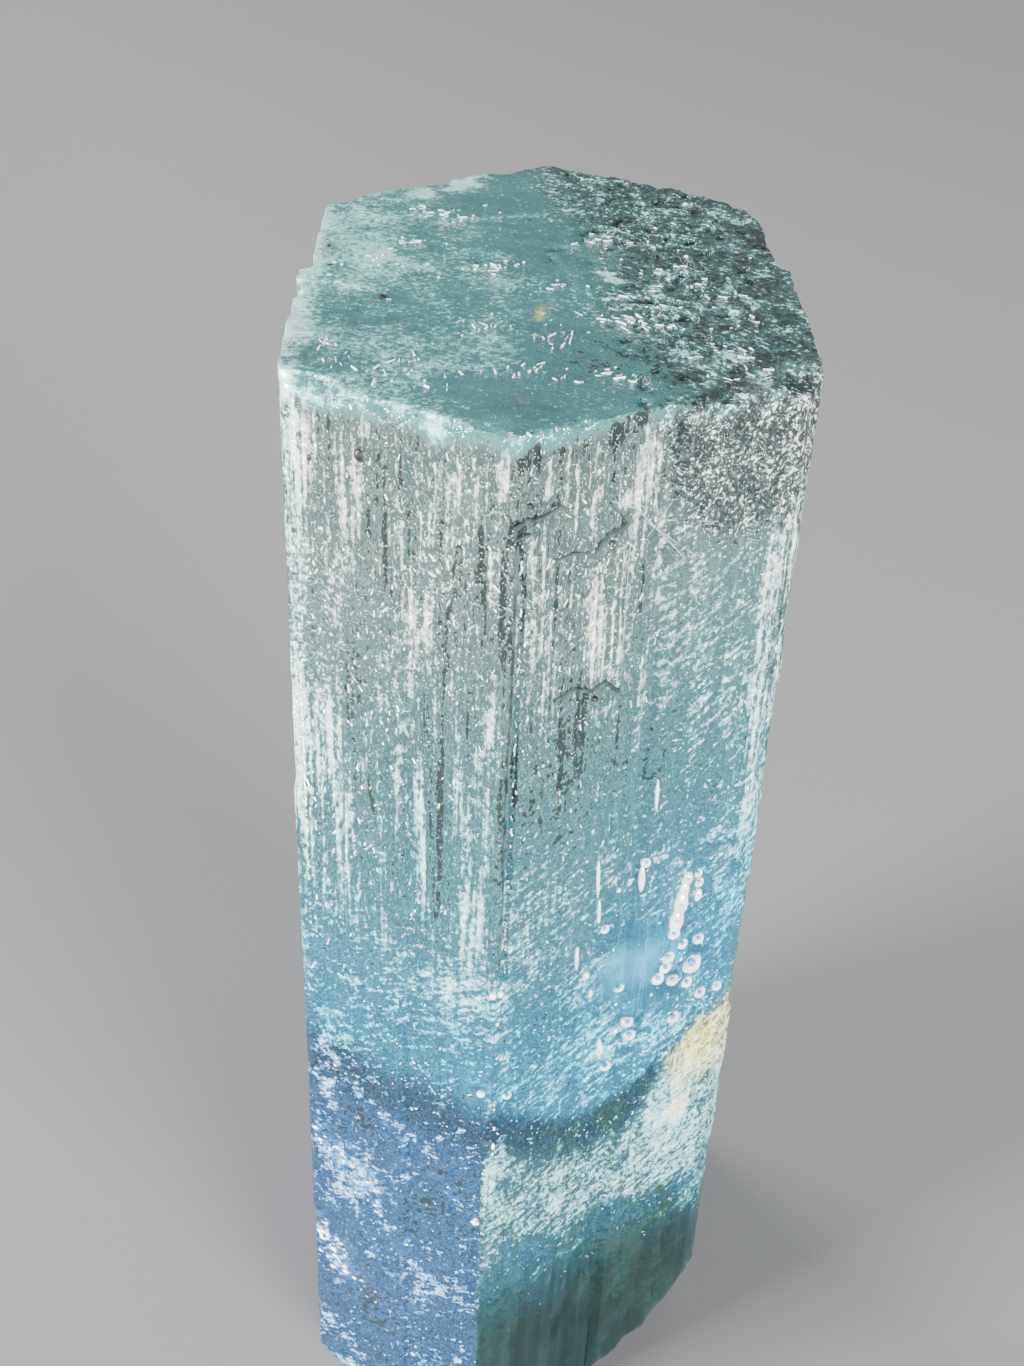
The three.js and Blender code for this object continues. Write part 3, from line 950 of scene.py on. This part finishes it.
def build_glints(material):
    rng = random.Random(61)
    makers = []
    for face, middle, half, number, length, lean in GLINT_ZONES:
        for _ in range(number):
            u, v = (m + h * rng.gauss(0, 0.75) for m, h in zip(middle, half))
            turn = lean + rng.gauss(0, 0.4)
            half_length = length * (0.12 + 0.5 * rng.random() ** 2)
            width = min(half_length, rng.uniform(0.007, 0.024))
            if face is None:
                spot = worn(Vector((u * MM, v * MM, HEIGHT))) / MM
                way = Vector((math.cos(turn), math.sin(turn), 0))
                if not inside_prism(u, v, 0.3):
                    continue
            else:
                start, end = face_span(face)
                u = ranged(u, start + 0.3, end - 0.3)
                spot = on_skin(face, u, v)
                way = along(face) * math.cos(turn) + Vector((0, 0, math.sin(turn)))
            makers.append(plate(boxed(spot, width), facing(way), (width, width, half_length)))
    finish_mesh(gather(makers), "glints", material, sharp_over=math.radians(50))


# The parting lies across the crystal, level but for a dip at the front right. Millimetres.
PARTING_LEVEL = 13.45
PARTING_RISE = 0.55
PARTING_DIP, PARTING_DIP_X, PARTING_DIP_Y, PARTING_DIP_REACH = 1.7, 1.6, -5.6, 2.0


def parting_height(x, y):
    """The height of the healed parting plane, in millimetres."""
    away = math.hypot(x - PARTING_DIP_X, y - PARTING_DIP_Y) / PARTING_DIP_REACH
    wave = 0.25 * noise.noise(Vector((x, y, 3)) / 3.3) + 0.06 * noise.noise(Vector((x, y, 7)) / 0.5)
    rise = PARTING_RISE * eased(x, 2.6, 4.6) * eased(y, -2, -4)
    return PARTING_LEVEL + rise - PARTING_DIP * math.exp(-away * away) + wave


def build_parting(material):
    """The parting that crosses the whole crystal, healed in part."""
    bm = bmesh.new()
    hexagon_plate(bm, 0.2 * MM, 0.5 * MM)
    for vert in bm.verts:
        vert.co.z = parting_height(vert.co.x / MM, vert.co.y / MM) * MM
        vert.co += AXIS
    bmesh.ops.solidify(bm, geom=bm.faces[:], thickness=0.01 * MM)
    bmesh.ops.recalc_face_normals(bm, faces=bm.faces[:])
    finish_mesh(bm, "healed_parting", material, sharp_over=math.pi)


# Dark mineral grains seen on the skin: place and radius. Millimetres.
END_GRAINS = (
    (-4.2, 4.3, 0.13),
    (-4.75, 1.9, 0.07),
    (-4.65, 1.5, 0.06),
    (-4.55, 0.5, 0.07),
    (-3.3, -1.1, 0.12),
    (-0.2, 3.4, 0.07),
    (-3.2, -4.6, 0.1),
    (-1.4, 0.8, 0.06),
    (0.6, -3.6, 0.07),
    (2.2, 3.4, 0.09),
    (3.6, 3.0, 0.08),
)
FACE_GRAINS = (  # face, place along it, height, radius
    (4, -0.1, 29.6, 0.13),
    (4, -1.3, 29.2, 0.07),
    (5, -3.9, 29.3, 0.08),
    (5, 0.6, 30.0, 0.12),
    (5, 1.1, 28.5, 0.1),
    (5, -2.2, 24.5, 0.1),
)


def grain(place, radius, rng):
    turn = Quaternion((rng.gauss(0, 1), rng.gauss(0, 1), rng.gauss(0, 1), rng.gauss(0, 1))).normalized()
    size = [radius * rng.uniform(0.6, 1.3) for _ in range(3)]
    return droplet(place, turn, size, 2)


def build_grains(inclusions, material):
    rng = random.Random(5)
    top = HEIGHT / MM
    makers = []
    for x, y, radius in END_GRAINS:
        skin = worn(Vector((x * MM, y * MM, HEIGHT))) / MM
        makers.append(grain(boxed(skin - Vector((0, 0, 0.3 * radius)), 1.3 * radius), radius, rng))
    for face, place, z, radius in FACE_GRAINS:
        makers.append(grain(on_skin(face, place, z, 0.4 * radius), radius, rng))
    while len(makers) < inclusions.grains:
        spot = Vector((rng.gauss(3.2, 1.2), rng.gauss(0.6, 2.2), top - rng.uniform(0.35, 1.2)))
        if inside_prism(spot.x, spot.y, 0.1):
            makers.append(grain(spot, rng.uniform(0.03, 0.1), rng))
    finish_mesh(gather(makers), "mineral_grains", material, sharp_over=math.radians(40))


# ------------------------------------------------------------------ materials


class Nodes:
    """Short names for making a material's nodes."""

    def __init__(self, name):
        self.material = bpy.data.materials.new(name)
        self.material.use_nodes = True
        self.tree = self.material.node_tree
        self.tree.nodes.clear()
        self.output = self.tree.nodes.new("ShaderNodeOutputMaterial")
        self.shader = self.tree.nodes.new("ShaderNodeBsdfPrincipled")
        self.tree.links.new(self.shader.outputs["BSDF"], self.output.inputs["Surface"])
        self.mm = self.scaled((1 / MM, 1 / MM, 1 / MM))

    def add(self, kind, **settings):
        node = self.tree.nodes.new(kind)
        for key, value in settings.items():
            setattr(node, key, value)
        return node

    def link(self, source, target):
        self.tree.links.new(source, target)

    def feed(self, socket, value):
        """Links a socket, or sets its value."""
        if isinstance(value, bpy.types.NodeSocket):
            self.link(value, socket)
        else:
            socket.default_value = value

    def scaled(self, scale, source=None, turn=(0, 0, 0)):
        mapping = self.add("ShaderNodeMapping")
        mapping.inputs["Scale"].default_value = scale
        mapping.inputs["Rotation"].default_value = turn
        if source is None:
            source = self.add("ShaderNodeTexCoord").outputs["Object"]
        self.link(source, mapping.inputs["Vector"])
        return mapping.outputs["Vector"]

    def noise(self, scale, stretch=(1, 1, 1), detail=3, roughness=0.55, distortion=0):
        """Noise with `scale` features to a millimetre, stretched along each axis."""
        places = self.scaled(tuple(1 / s for s in stretch), self.mm)
        return self.noise_at(places, scale, detail, roughness, distortion)

    def noise_at(self, places, scale, detail, roughness, distortion=0):
        node = self.add("ShaderNodeTexNoise")
        self.link(places, node.inputs["Vector"])
        node.inputs["Scale"].default_value = scale
        node.inputs["Detail"].default_value = detail
        node.inputs["Roughness"].default_value = roughness
        node.inputs["Distortion"].default_value = distortion
        return node.outputs["Fac"]

    def span(self, value, low, high, to_low=0, to_high=1, smooth=True):
        """Carries low..high to to_low..to_high, held at the ends."""
        node = self.add("ShaderNodeMapRange")
        node.interpolation_type = "SMOOTHSTEP" if smooth else "LINEAR"
        self.feed(node.inputs["Value"], value)
        for socket, number in zip(node.inputs[1:5], (low, high, to_low, to_high)):
            self.feed(socket, number)
        return node.outputs["Result"]

    def math(self, operation, *values):
        node = self.add("ShaderNodeMath", operation=operation)
        for socket, value in zip(node.inputs, values):
            self.feed(socket, value)
        return node.outputs[0]

    def fold(self, operation, values):
        found = values[0]
        for value in values[1:]:
            found = self.math(operation, found, value)
        return found

    def times(self, *values):
        return self.fold("MULTIPLY", values)

    def either(self, *values):
        """The largest of several masks."""
        return self.fold("MAXIMUM", values)

    def total(self, *values):
        return self.fold("ADD", values)

    def mixture(self, level, *parts):
        """The weighted total of several noises, moved so that its middle is at a level."""
        rest = level - 0.5 * sum(weight for _, weight in parts)
        return self.total(*(self.times(source, weight) for source, weight in parts), rest)

    def kept(self, layer, numbers=False):
        """What a mesh keeps under a name: four numbers, or a colour and a number."""
        node = self.add("ShaderNodeAttribute", attribute_name=layer)
        if not numbers:
            return node.outputs["Color"], node.outputs["Alpha"]
        parts = self.add("ShaderNodeSeparateColor")
        self.link(node.outputs["Color"], parts.inputs[0])
        return (*parts.outputs[:3], node.outputs["Alpha"])

    def mixed_places(self, amount, first, second):
        node = self.add("ShaderNodeMix", data_type="VECTOR")
        self.link(amount, node.inputs["Factor"])
        for name, source in (("A", first), ("B", second)):
            self.link(source, [s for s in node.inputs if s.name == name and s.type == "VECTOR"][0])
        return [s for s in node.outputs if s.type == "VECTOR"][0]

    def blend(self, amount, first, second):
        """A colour between two."""
        node = self.add("ShaderNodeMix", data_type="RGBA")
        self.feed(node.inputs["Factor"], amount)
        for name, colour in (("A", first), ("B", second)):
            socket = [s for s in node.inputs if s.name == name and s.type == "RGBA"][0]
            self.feed(socket, colour if isinstance(colour, bpy.types.NodeSocket) else (*colour, 1))
        return [s for s in node.outputs if s.type == "RGBA"][0]

    def bump(self, height, strength, distance, under=None):
        node = self.add("ShaderNodeBump")
        self.feed(node.inputs["Strength"], strength)
        node.inputs["Distance"].default_value = distance
        self.link(height, node.inputs["Height"])
        if under is not None:
            self.link(under, node.inputs["Normal"])
        return node.outputs["Normal"]

    def set(self, **values):
        """Feeds the shader's sockets, named with underscores for spaces."""
        for name, value in values.items():
            socket = self.shader.inputs[name.replace("_", " ")]
            if isinstance(value, tuple) and len(value) == 3 and socket.type == "RGBA":
                value = (*value, 1)
            self.feed(socket, value)


def beryl_material(colour):
    """Clear to cloudy beryl: fine detail over the look that the skin keeps, and one colour all through."""
    n = Nodes("aquamarine_beryl")
    (level, streaks, grain, wisps), (tint, end), (milk, clear) = (
        n.kept(SKIN_LAYERS[0], numbers=True),
        n.kept(SKIN_LAYERS[1]),
        n.kept(SKIN_LAYERS[2]),
    )

    streak = n.noise(4.5, (1, 1, 20), detail=2, roughness=0.65)
    hair = n.noise(12.0, (1, 1, 30), detail=0, roughness=0.6)
    dash = n.noise(8.5, (1, 1, 2.4), detail=2, roughness=0.85)
    fine = n.noise(8.5, detail=2, roughness=0.8)
    turned = n.scaled((0.45, 0.45, 1.4), n.scaled((1, 1, 1), n.mm, turn=(0.0, 0.5, 0.3)))
    across = n.scaled((0.4, 1, 1), n.scaled((1, 1, 1), n.mm, turn=(0.0, 0.0, 0.5)))
    wisp = n.noise_at(n.mixed_places(end, turned, across), 4.5, detail=2.5, roughness=0.8)

    # The last term of the tone scatters small specks bright enough to turn white: painted sparkles.
    tone = n.total(
        level,
        n.times(n.mixture(0, (streak, 0.35), (dash, 0.45), (hair, 0.25)), streaks),
        n.times(n.mixture(0, (fine, 1)), grain),
        n.times(n.mixture(0, (wisp, 1)), wisps),
        n.times(n.span(fine, 0.63, 0.68), n.span(wisp, 0.5, 0.58), n.span(wisps, 0, 0.3), 0.28),
    )
    light = n.span(tone, 0.48, 0.66)
    # bright: the highest tones turn the skin near white, with some metallic gloss. These are painted glints.
    bright = n.span(tone, 0.67, 0.74)
    skin = n.blend(light, tint, milk)
    skin = n.blend(n.span(tone, 0.47, 0.38, 0, 0.75), skin, n.blend(0.5, tint, colour.smoke))
    skin = n.blend(n.span(tone, 0.38, 0.28), skin, colour.smoke)
    skin = n.blend(bright, skin, n.blend(0.65, milk, (1.0, 1.0, 1.0)))

    murk = n.span(tone, 0.43, 0.33, 0.07, 0.5)
    haze = n.total(n.times(end, 0.3), n.times(light, 0.42), n.times(bright, 0.85), murk)
    n.set(
        Base_Color=skin,
        Metallic=n.times(bright, 0.4),
        Transmission_Weight=n.span(haze, 0, 0.92, 1, 0.08, smooth=False),
        Roughness=n.span(n.either(light, n.times(bright, 0.9)), 0, 1, 0.05, 0.3),
        IOR=1.577,
    )
    lines = n.bump(dash, n.span(clear, 0, 1, n.times(streaks, 0.9), 0.1), 0.09 * MM)
    n.set(Normal=n.bump(fine, n.span(grain, 0, 0.9, 0.15, 0.9), 0.06 * MM, under=lines))

    inside = n.add("ShaderNodeVolumeAbsorption")
    inside.inputs["Color"].default_value = (*colour.inside, 1)
    inside.inputs["Density"].default_value = colour.density
    n.link(inside.outputs["Volume"], n.output.inputs["Volume"])
    return n.material


def mottled(name, patch, first, second, rough, metallic=None, detail=2):
    """A finish whose colour, gleam and roughness vary in small patches.

    `patch` is how many patches of colour and of roughness lie in a millimetre. `rough` and `metallic` are
    ranges.
    """
    n = Nodes(name)
    patches = n.noise(patch[0], detail=detail)
    n.set(
        Base_Color=n.blend(n.span(patches, 0.35, 0.65), tuple(first), tuple(second)),
        Roughness=n.span(n.noise(patch[1], detail=2), 0.3, 0.7, *rough),
    )
    if metallic is not None:
        n.set(Metallic=n.span(patches, 0.3, 0.7, *metallic))
    return n, patches


def bubble_material(colour):
    """The bright skin of a bubble, a droplet or a hollow tube."""
    shaded = [c * 0.8 for c in colour.bubble]
    return mottled("bubble_skin", (3.0, 9.0), colour.bubble, shaded, (0.1, 0.3), (0.1, 0.35))[0].material


def painted_centre_material():
    """The painted blue centre of a bubble: it stands in for the view through the bubble."""
    deep, pale = (0.05, 0.2, 0.42), (0.14, 0.4, 0.66)
    return mottled("painted_bubble_centre", (6.0, 6.0), deep, pale, (0.08, 0.25))[0].material


def painted_glint_material(colour):
    """A painted glint: a nearly white finish on the skin that stays bright under any lamp."""
    cool = (0.9, 0.98, 1.0)
    return mottled("painted_skin_glint", (2.0, 8.0), colour.flake, cool, (0.12, 0.35), (0.0, 0.3))[0].material


def flake_material(colour):
    """A thin gap that flashes silver."""
    cool = (0.78, 0.94, 0.97)
    n, _ = mottled("silver_flake", (1.2, 7.0), colour.flake, cool, (0.1, 0.35))
    n.set(Metallic=0.85)
    return n.material


def shadow_material():
    """The dark gap of a crack."""
    black, grey = (0.008, 0.016, 0.014), (0.05, 0.08, 0.075)
    return mottled("crack_shadow", (3.0, 10.0), black, grey, (0.3, 0.6))[0].material


def grain_material():
    """Nearly black mica, with a green-brown cast."""
    black, brown = (0.006, 0.008, 0.008), (0.016, 0.018, 0.015)
    n, patches = mottled("dark_mica", (4.0, 12.0), black, brown, (0.25, 0.6), detail=3)
    n.set(Normal=n.bump(patches, 0.5, 0.02 * MM))
    return n.material


def film_material(name, tint, strength):
    """A crack or parting: a thin film, bright in patches and clear between them."""
    n = Nodes(name)
    patch = n.noise(0.9, detail=2, roughness=0.6)
    speckle = n.noise(6.0, detail=1, roughness=0.7)
    open_part = n.span(n.math("ADD", n.times(patch, 0.65), n.times(speckle, 0.35)), 0.42, 0.6)
    n.set(
        Base_Color=n.blend(open_part, tint, (0.92, 0.98, 1.0)),
        Metallic=0.7,
        Roughness=n.span(speckle, 0.3, 0.7, 0.06, 0.3),
        Alpha=n.times(open_part, strength),
    )
    return n.material


# ------------------------------------------------------------------ the stage


def paper_material(colour):
    n = Nodes("studio_paper")
    tooth = n.noise(0.02, detail=2)
    shaded = tuple(c * 0.96 for c in colour)
    n.set(Base_Color=n.blend(n.span(tooth, 0.3, 0.7, 0, 0.2), colour, shaded), Roughness=0.9)
    return n.material


def build_stage(stage):
    """A pale floor that curves up into a wall all round, soft lights and the camera."""
    bm = bmesh.new()
    radius, corner, wall = 0.7, 0.25, 0.6
    profile = [Vector((0, 0, 0)), Vector((radius - corner, 0, 0))]
    steps = 10
    for i in range(1, steps + 1):
        turn = math.pi / 2 * i / steps
        out, up = corner * math.sin(turn), corner * (1 - math.cos(turn))
        profile.append(Vector((radius - corner + out, 0, up)))
    profile.append(Vector((radius, 0, wall)))
    verts = [bm.verts.new(p) for p in profile]
    edges = [bm.edges.new(pair) for pair in zip(verts, verts[1:])]
    bmesh.ops.spin(
        bm, geom=verts + edges, axis=(0, 0, 1), cent=(0, 0, 0), angle=2 * math.pi, steps=64, use_merge=True
    )
    bmesh.ops.remove_doubles(bm, verts=bm.verts[:], dist=1e-6)
    bmesh.ops.recalc_face_normals(bm, faces=bm.faces[:])
    for face in bm.faces:
        face.smooth = True
    mesh = bpy.data.meshes.new("studio_sweep")
    bm.to_mesh(mesh)
    bm.free()
    sweep = bpy.data.objects.new("studio_sweep", mesh)
    bpy.context.scene.collection.objects.link(sweep)
    mesh.materials.append(paper_material(tuple(stage.paper)))

    world = bpy.data.worlds.new("studio_air")
    world.use_nodes = True
    world.node_tree.nodes["Background"].inputs["Color"].default_value = (*stage.air, 1)
    world.node_tree.nodes["Background"].inputs["Strength"].default_value = stage.air_strength
    bpy.context.scene.world = world

    middle = Vector((0, 0, HEIGHT / 2))
    for name, place, size, power in (
        ("back_softbox", (-0.24, 0.2, 0.3), (0.14, 0.14), stage.back_power),
        ("left_softbox", (-0.3, -0.14, 0.075), (0.12, 0.1), stage.left_power),
        ("top_softbox", (0.04, 0.02, 0.36), (0.2, 0.2), stage.top_power),
        ("front_softbox", (0.2, -0.3, 0.065), (0.18, 0.09), stage.front_power),
    ):
        light = bpy.data.lights.new(name, "AREA")
        light.shape = "RECTANGLE"
        light.size, light.size_y = size
        light.energy = power
        lamp = bpy.data.objects.new(name, light)
        bpy.context.scene.collection.objects.link(lamp)
        lamp.location = place
        lamp.rotation_euler = (middle - lamp.location).to_track_quat("-Z", "Y").to_euler()

    lens = bpy.data.cameras.new("camera")
    lens.lens = stage.lens
    lens.clip_start = 0.002
    camera = bpy.data.objects.new("camera", lens)
    bpy.context.scene.collection.objects.link(camera)
    look = Matrix.Rotation(stage.heading, 4, "Z") @ Matrix.Rotation(math.pi / 2 - stage.pitch, 4, "X")
    camera.matrix_world = Matrix.Translation(stage.camera) @ look @ Matrix.Rotation(stage.roll, 4, "Z")
    bpy.context.scene.camera = camera


# ------------------------------------------------------------------ the add-on


def paint(name, description, default):
    return FloatVectorProperty(name=name, description=description, default=default, subtype="COLOR")


def power(name, description, default):
    return FloatProperty(name=name, description=description, default=default, unit="POWER")


def angle(name, description, degrees):
    return FloatProperty(name=name, description=description, default=math.radians(degrees), unit="ROTATION")


class CrystalForm(bpy.types.PropertyGroup):
    """The fineness of the crystal's skin."""

    pitch: FloatProperty(
        name="Pitch",
        description="Side of the squares that the two ends are made of",
        default=0.165 * MM,
        unit="LENGTH",
    )
    rows: IntProperty(name="Rows", description="Rows of faces from foot to end", default=113)
    crowding: FloatProperty(
        name="Crowding",
        description="How much closer the rows lie at the two ends",
        default=0.35,
        subtype="FACTOR",
    )


class CrystalColour(bpy.types.PropertyGroup):
    """The colours of the crystal's skin, and the colour that is the same all through."""

    upper: paint("Upper", "Tint near the flat end", (0.38, 0.52, 0.46))
    middle: paint("Middle", "Tint half way down", (0.15, 0.50, 0.53))
    lower: paint("Lower", "Tint in the lower third", (0.05, 0.58, 0.88))
    violet: paint("Violet", "Tint at the lower left", (0.05, 0.27, 0.66))
    # Deep is the colour of the painted shade under the parting.
    deep: paint("Deep", "Shade under the parting", (0.04, 0.14, 0.27))
    green: paint("Green", "Tint at the lower right", (0.004, 0.07, 0.055))
    moss: paint("Moss", "Olive patches at the lower right", (0.15, 0.36, 0.07))
    stain: paint("Stain", "Iron stain in a lower crack", (0.94, 0.90, 0.22))
    end: paint("End", "Tint of the flat end", (0.12, 0.36, 0.35))
    end_milk: paint("End milk", "Cloudy skin of the flat end", (0.38, 0.84, 0.77))
    warm_milk: paint("Warm milk", "Cloudy skin of the upper half", (0.70, 0.74, 0.67))
    milk: paint("Milk", "Cloudy skin half way down", (0.42, 0.73, 0.75))
    low_milk: paint("Low milk", "Cloudy skin of the lower half", (0.16, 0.82, 1.0))
    violet_milk: paint("Violet milk", "Cloudy skin at the lower left", (0.34, 0.68, 1.0))
    pale_milk: paint("Pale milk", "Cloudy skin under the parting, at the right", (0.50, 0.84, 0.86))
    pale_tint: paint("Pale tint", "Tint under the parting, at the right", (0.16, 0.36, 0.40))
    scales: paint("Scales", "Tint of the scaly half of the flat end", (0.09, 0.11, 0.1))
    # The stain's own yellow, made paler where a painted highlight runs along the outer edge.
    stain_edge_highlight: paint("Stain edge", "Iron stain at the outer edge", (0.98, 0.94, 0.6))
    warm_bar: paint("Warm bar", "Cloudy bar at the right front", (0.86, 0.85, 0.68))
    # A painted highlight: the pale colour of the glowing band along the left edges.
    painted_edge_highlight_colour: paint("Pale rim", "Cloudy skin of the left edge", (0.56, 1.0, 0.93))
    smoke: paint("Smoke", "Smoky patches and dark streaks", (0.021, 0.032, 0.030))
    inside: paint("Inside", "Colour of light after a long way through", (0.06, 0.58, 0.64))
    bubble: paint("Bubble", "Bright skin of bubbles and tubes", (0.93, 0.98, 1.0))
    flake: paint("Flake", "Silver of the thin gaps", (0.97, 0.99, 1.0))
    density: FloatProperty(
        name="Density", description="How fast the crystal takes up light, per metre", default=100
    )


class Inclusions(bpy.types.PropertyGroup):
    """What is sealed in the crystal."""

    tubes: IntProperty(name="Tubes", description="Number of growth tubes", default=700)
    grains: IntProperty(name="Grains", description="Number of dark mineral grains", default=90)


class Stage(bpy.types.PropertyGroup):
    """The floor, the lights and the camera."""

    paper: paint("Paper", "Colour of the floor", (0.21, 0.21, 0.213))
    air: paint("Air", "Colour of the light all round", (0.9, 0.95, 1.0))
    air_strength: FloatProperty(
        name="Air strength", description="Strength of the light all round", default=0.1
    )
    back_power: power("Back", "Power of the softbox behind", 1.6)
    left_power: power("Left", "Power of the softbox at the left", 5.4)
    top_power: power("Top", "Power of the softbox above", 0.35)
    front_power: power("Front", "Power of the softbox in front", 6.4)
    lens: FloatProperty(name="Lens", description="Focal length in millimetres", default=46.2)
    camera: FloatVectorProperty(
        name="Camera",
        description="Where the camera stands",
        default=(-1.97 * MM, -34.84 * MM, HEIGHT + 14.0 * MM),
        subtype="TRANSLATION",
        precision=5,
    )
    heading: angle("Heading", "The camera's turn about the vertical", -2.57)
    pitch: angle("Pitch", "How far the camera looks down", 34.95)
    roll: angle("Roll", "The camera's tilt about its own line of sight", 2.53)


class AQUAMARINE_OT_body(bpy.types.Operator):
    """Make the crystal's skin"""

    bl_idname = "aquamarine.body"
    bl_label = "Crystal body"

    def execute(self, context):
        colour = context.scene.aquamarine_colour
        build_body(context.scene.aquamarine_form, colour, beryl_material(colour))
        return {"FINISHED"}


class AQUAMARINE_OT_stage(bpy.types.Operator):
    """Make the floor, the lights and the camera"""

    bl_idname = "aquamarine.stage"
    bl_label = "Stage"

    def execute(self, context):
        build_stage(context.scene.aquamarine_stage)
        return {"FINISHED"}


class AQUAMARINE_OT_parting(bpy.types.Operator):
    """Make the healed parting that crosses the crystal"""

    bl_idname = "aquamarine.parting"
    bl_label = "Healed parting"

    def execute(self, context):
        build_parting(film_material("parting_film", (0.45, 0.72, 0.92), 0.85))
        return {"FINISHED"}


class AQUAMARINE_OT_cracks(bpy.types.Operator):
    """Make the thin cracks"""

    bl_idname = "aquamarine.cracks"
    bl_label = "Cracks"

    def execute(self, context):
        build_cracks(film_material("crack_film", (0.8, 0.9, 0.92), 0.85))
        build_skin_cracks(shadow_material(), flake_material(context.scene.aquamarine_colour))
        return {"FINISHED"}


class AQUAMARINE_OT_veils(bpy.types.Operator):
    """Make the veils of droplets"""

    bl_idname = "aquamarine.veils"
    bl_label = "Veils"

    def execute(self, context):
        build_veils(bubble_material(context.scene.aquamarine_colour))
        return {"FINISHED"}


class AQUAMARINE_OT_bubbles(bpy.types.Operator):
    """Make the bubbles and the growth tubes"""

    bl_idname = "aquamarine.bubbles"
    bl_label = "Bubbles and growth tubes"

    def execute(self, context):
        material = bubble_material(context.scene.aquamarine_colour)
        build_bubbles(material, painted_centre_material())
        build_growth_tubes(context.scene.aquamarine_inclusions, material)
        return {"FINISHED"}


class AQUAMARINE_OT_flakes(bpy.types.Operator):
    """Make the bright flakes and the painted glints on the skin"""

    bl_idname = "aquamarine.flakes"
    bl_label = "Flakes and glints"

    def execute(self, context):
        colour = context.scene.aquamarine_colour
        build_flakes(flake_material(colour))
        build_glints(painted_glint_material(colour))
        return {"FINISHED"}


class AQUAMARINE_OT_grains(bpy.types.Operator):
    """Make the dark mineral grains"""

    bl_idname = "aquamarine.grains"
    bl_label = "Mineral grains"

    def execute(self, context):
        build_grains(context.scene.aquamarine_inclusions, grain_material())
        return {"FINISHED"}


OPERATORS = (
    AQUAMARINE_OT_stage,
    AQUAMARINE_OT_body,
    AQUAMARINE_OT_parting,
    AQUAMARINE_OT_cracks,
    AQUAMARINE_OT_veils,
    AQUAMARINE_OT_bubbles,
    AQUAMARINE_OT_flakes,
    AQUAMARINE_OT_grains,
)
SETTINGS = {
    "aquamarine_inclusions": Inclusions,
    "aquamarine_form": CrystalForm,
    "aquamarine_colour": CrystalColour,
    "aquamarine_stage": Stage,
}


class AQUAMARINE_PT_panel(bpy.types.Panel):
    """The crystal's pieces and their settings"""

    bl_label = "Aquamarine crystal"
    bl_idname = "AQUAMARINE_PT_panel"
    bl_space_type = "VIEW_3D"
    bl_region_type = "UI"
    bl_category = "Aquamarine"

    def draw(self, context):
        for operator in OPERATORS:
            self.layout.operator(operator.bl_idname)
        for name, group in SETTINGS.items():
            box = self.layout.box()
            box.label(text=group.__doc__)
            for key in group.__annotations__:
                box.prop(getattr(context.scene, name), key)


CLASSES = (*SETTINGS.values(), *OPERATORS, AQUAMARINE_PT_panel)


def register():
    for cls in CLASSES:
        bpy.utils.register_class(cls)
    for name, group in SETTINGS.items():
        setattr(bpy.types.Scene, name, PointerProperty(type=group))


def unregister():
    for name in SETTINGS:
        delattr(bpy.types.Scene, name)
    for cls in reversed(CLASSES):
        bpy.utils.unregister_class(cls)


def main():
    register()
    bpy.ops.aquamarine.stage()
    bpy.ops.aquamarine.body()
    bpy.ops.aquamarine.parting()
    bpy.ops.aquamarine.cracks()
    bpy.ops.aquamarine.veils()
    bpy.ops.aquamarine.bubbles()
    bpy.ops.aquamarine.flakes()
    bpy.ops.aquamarine.grains()


if __name__ == "__main__":
    main()
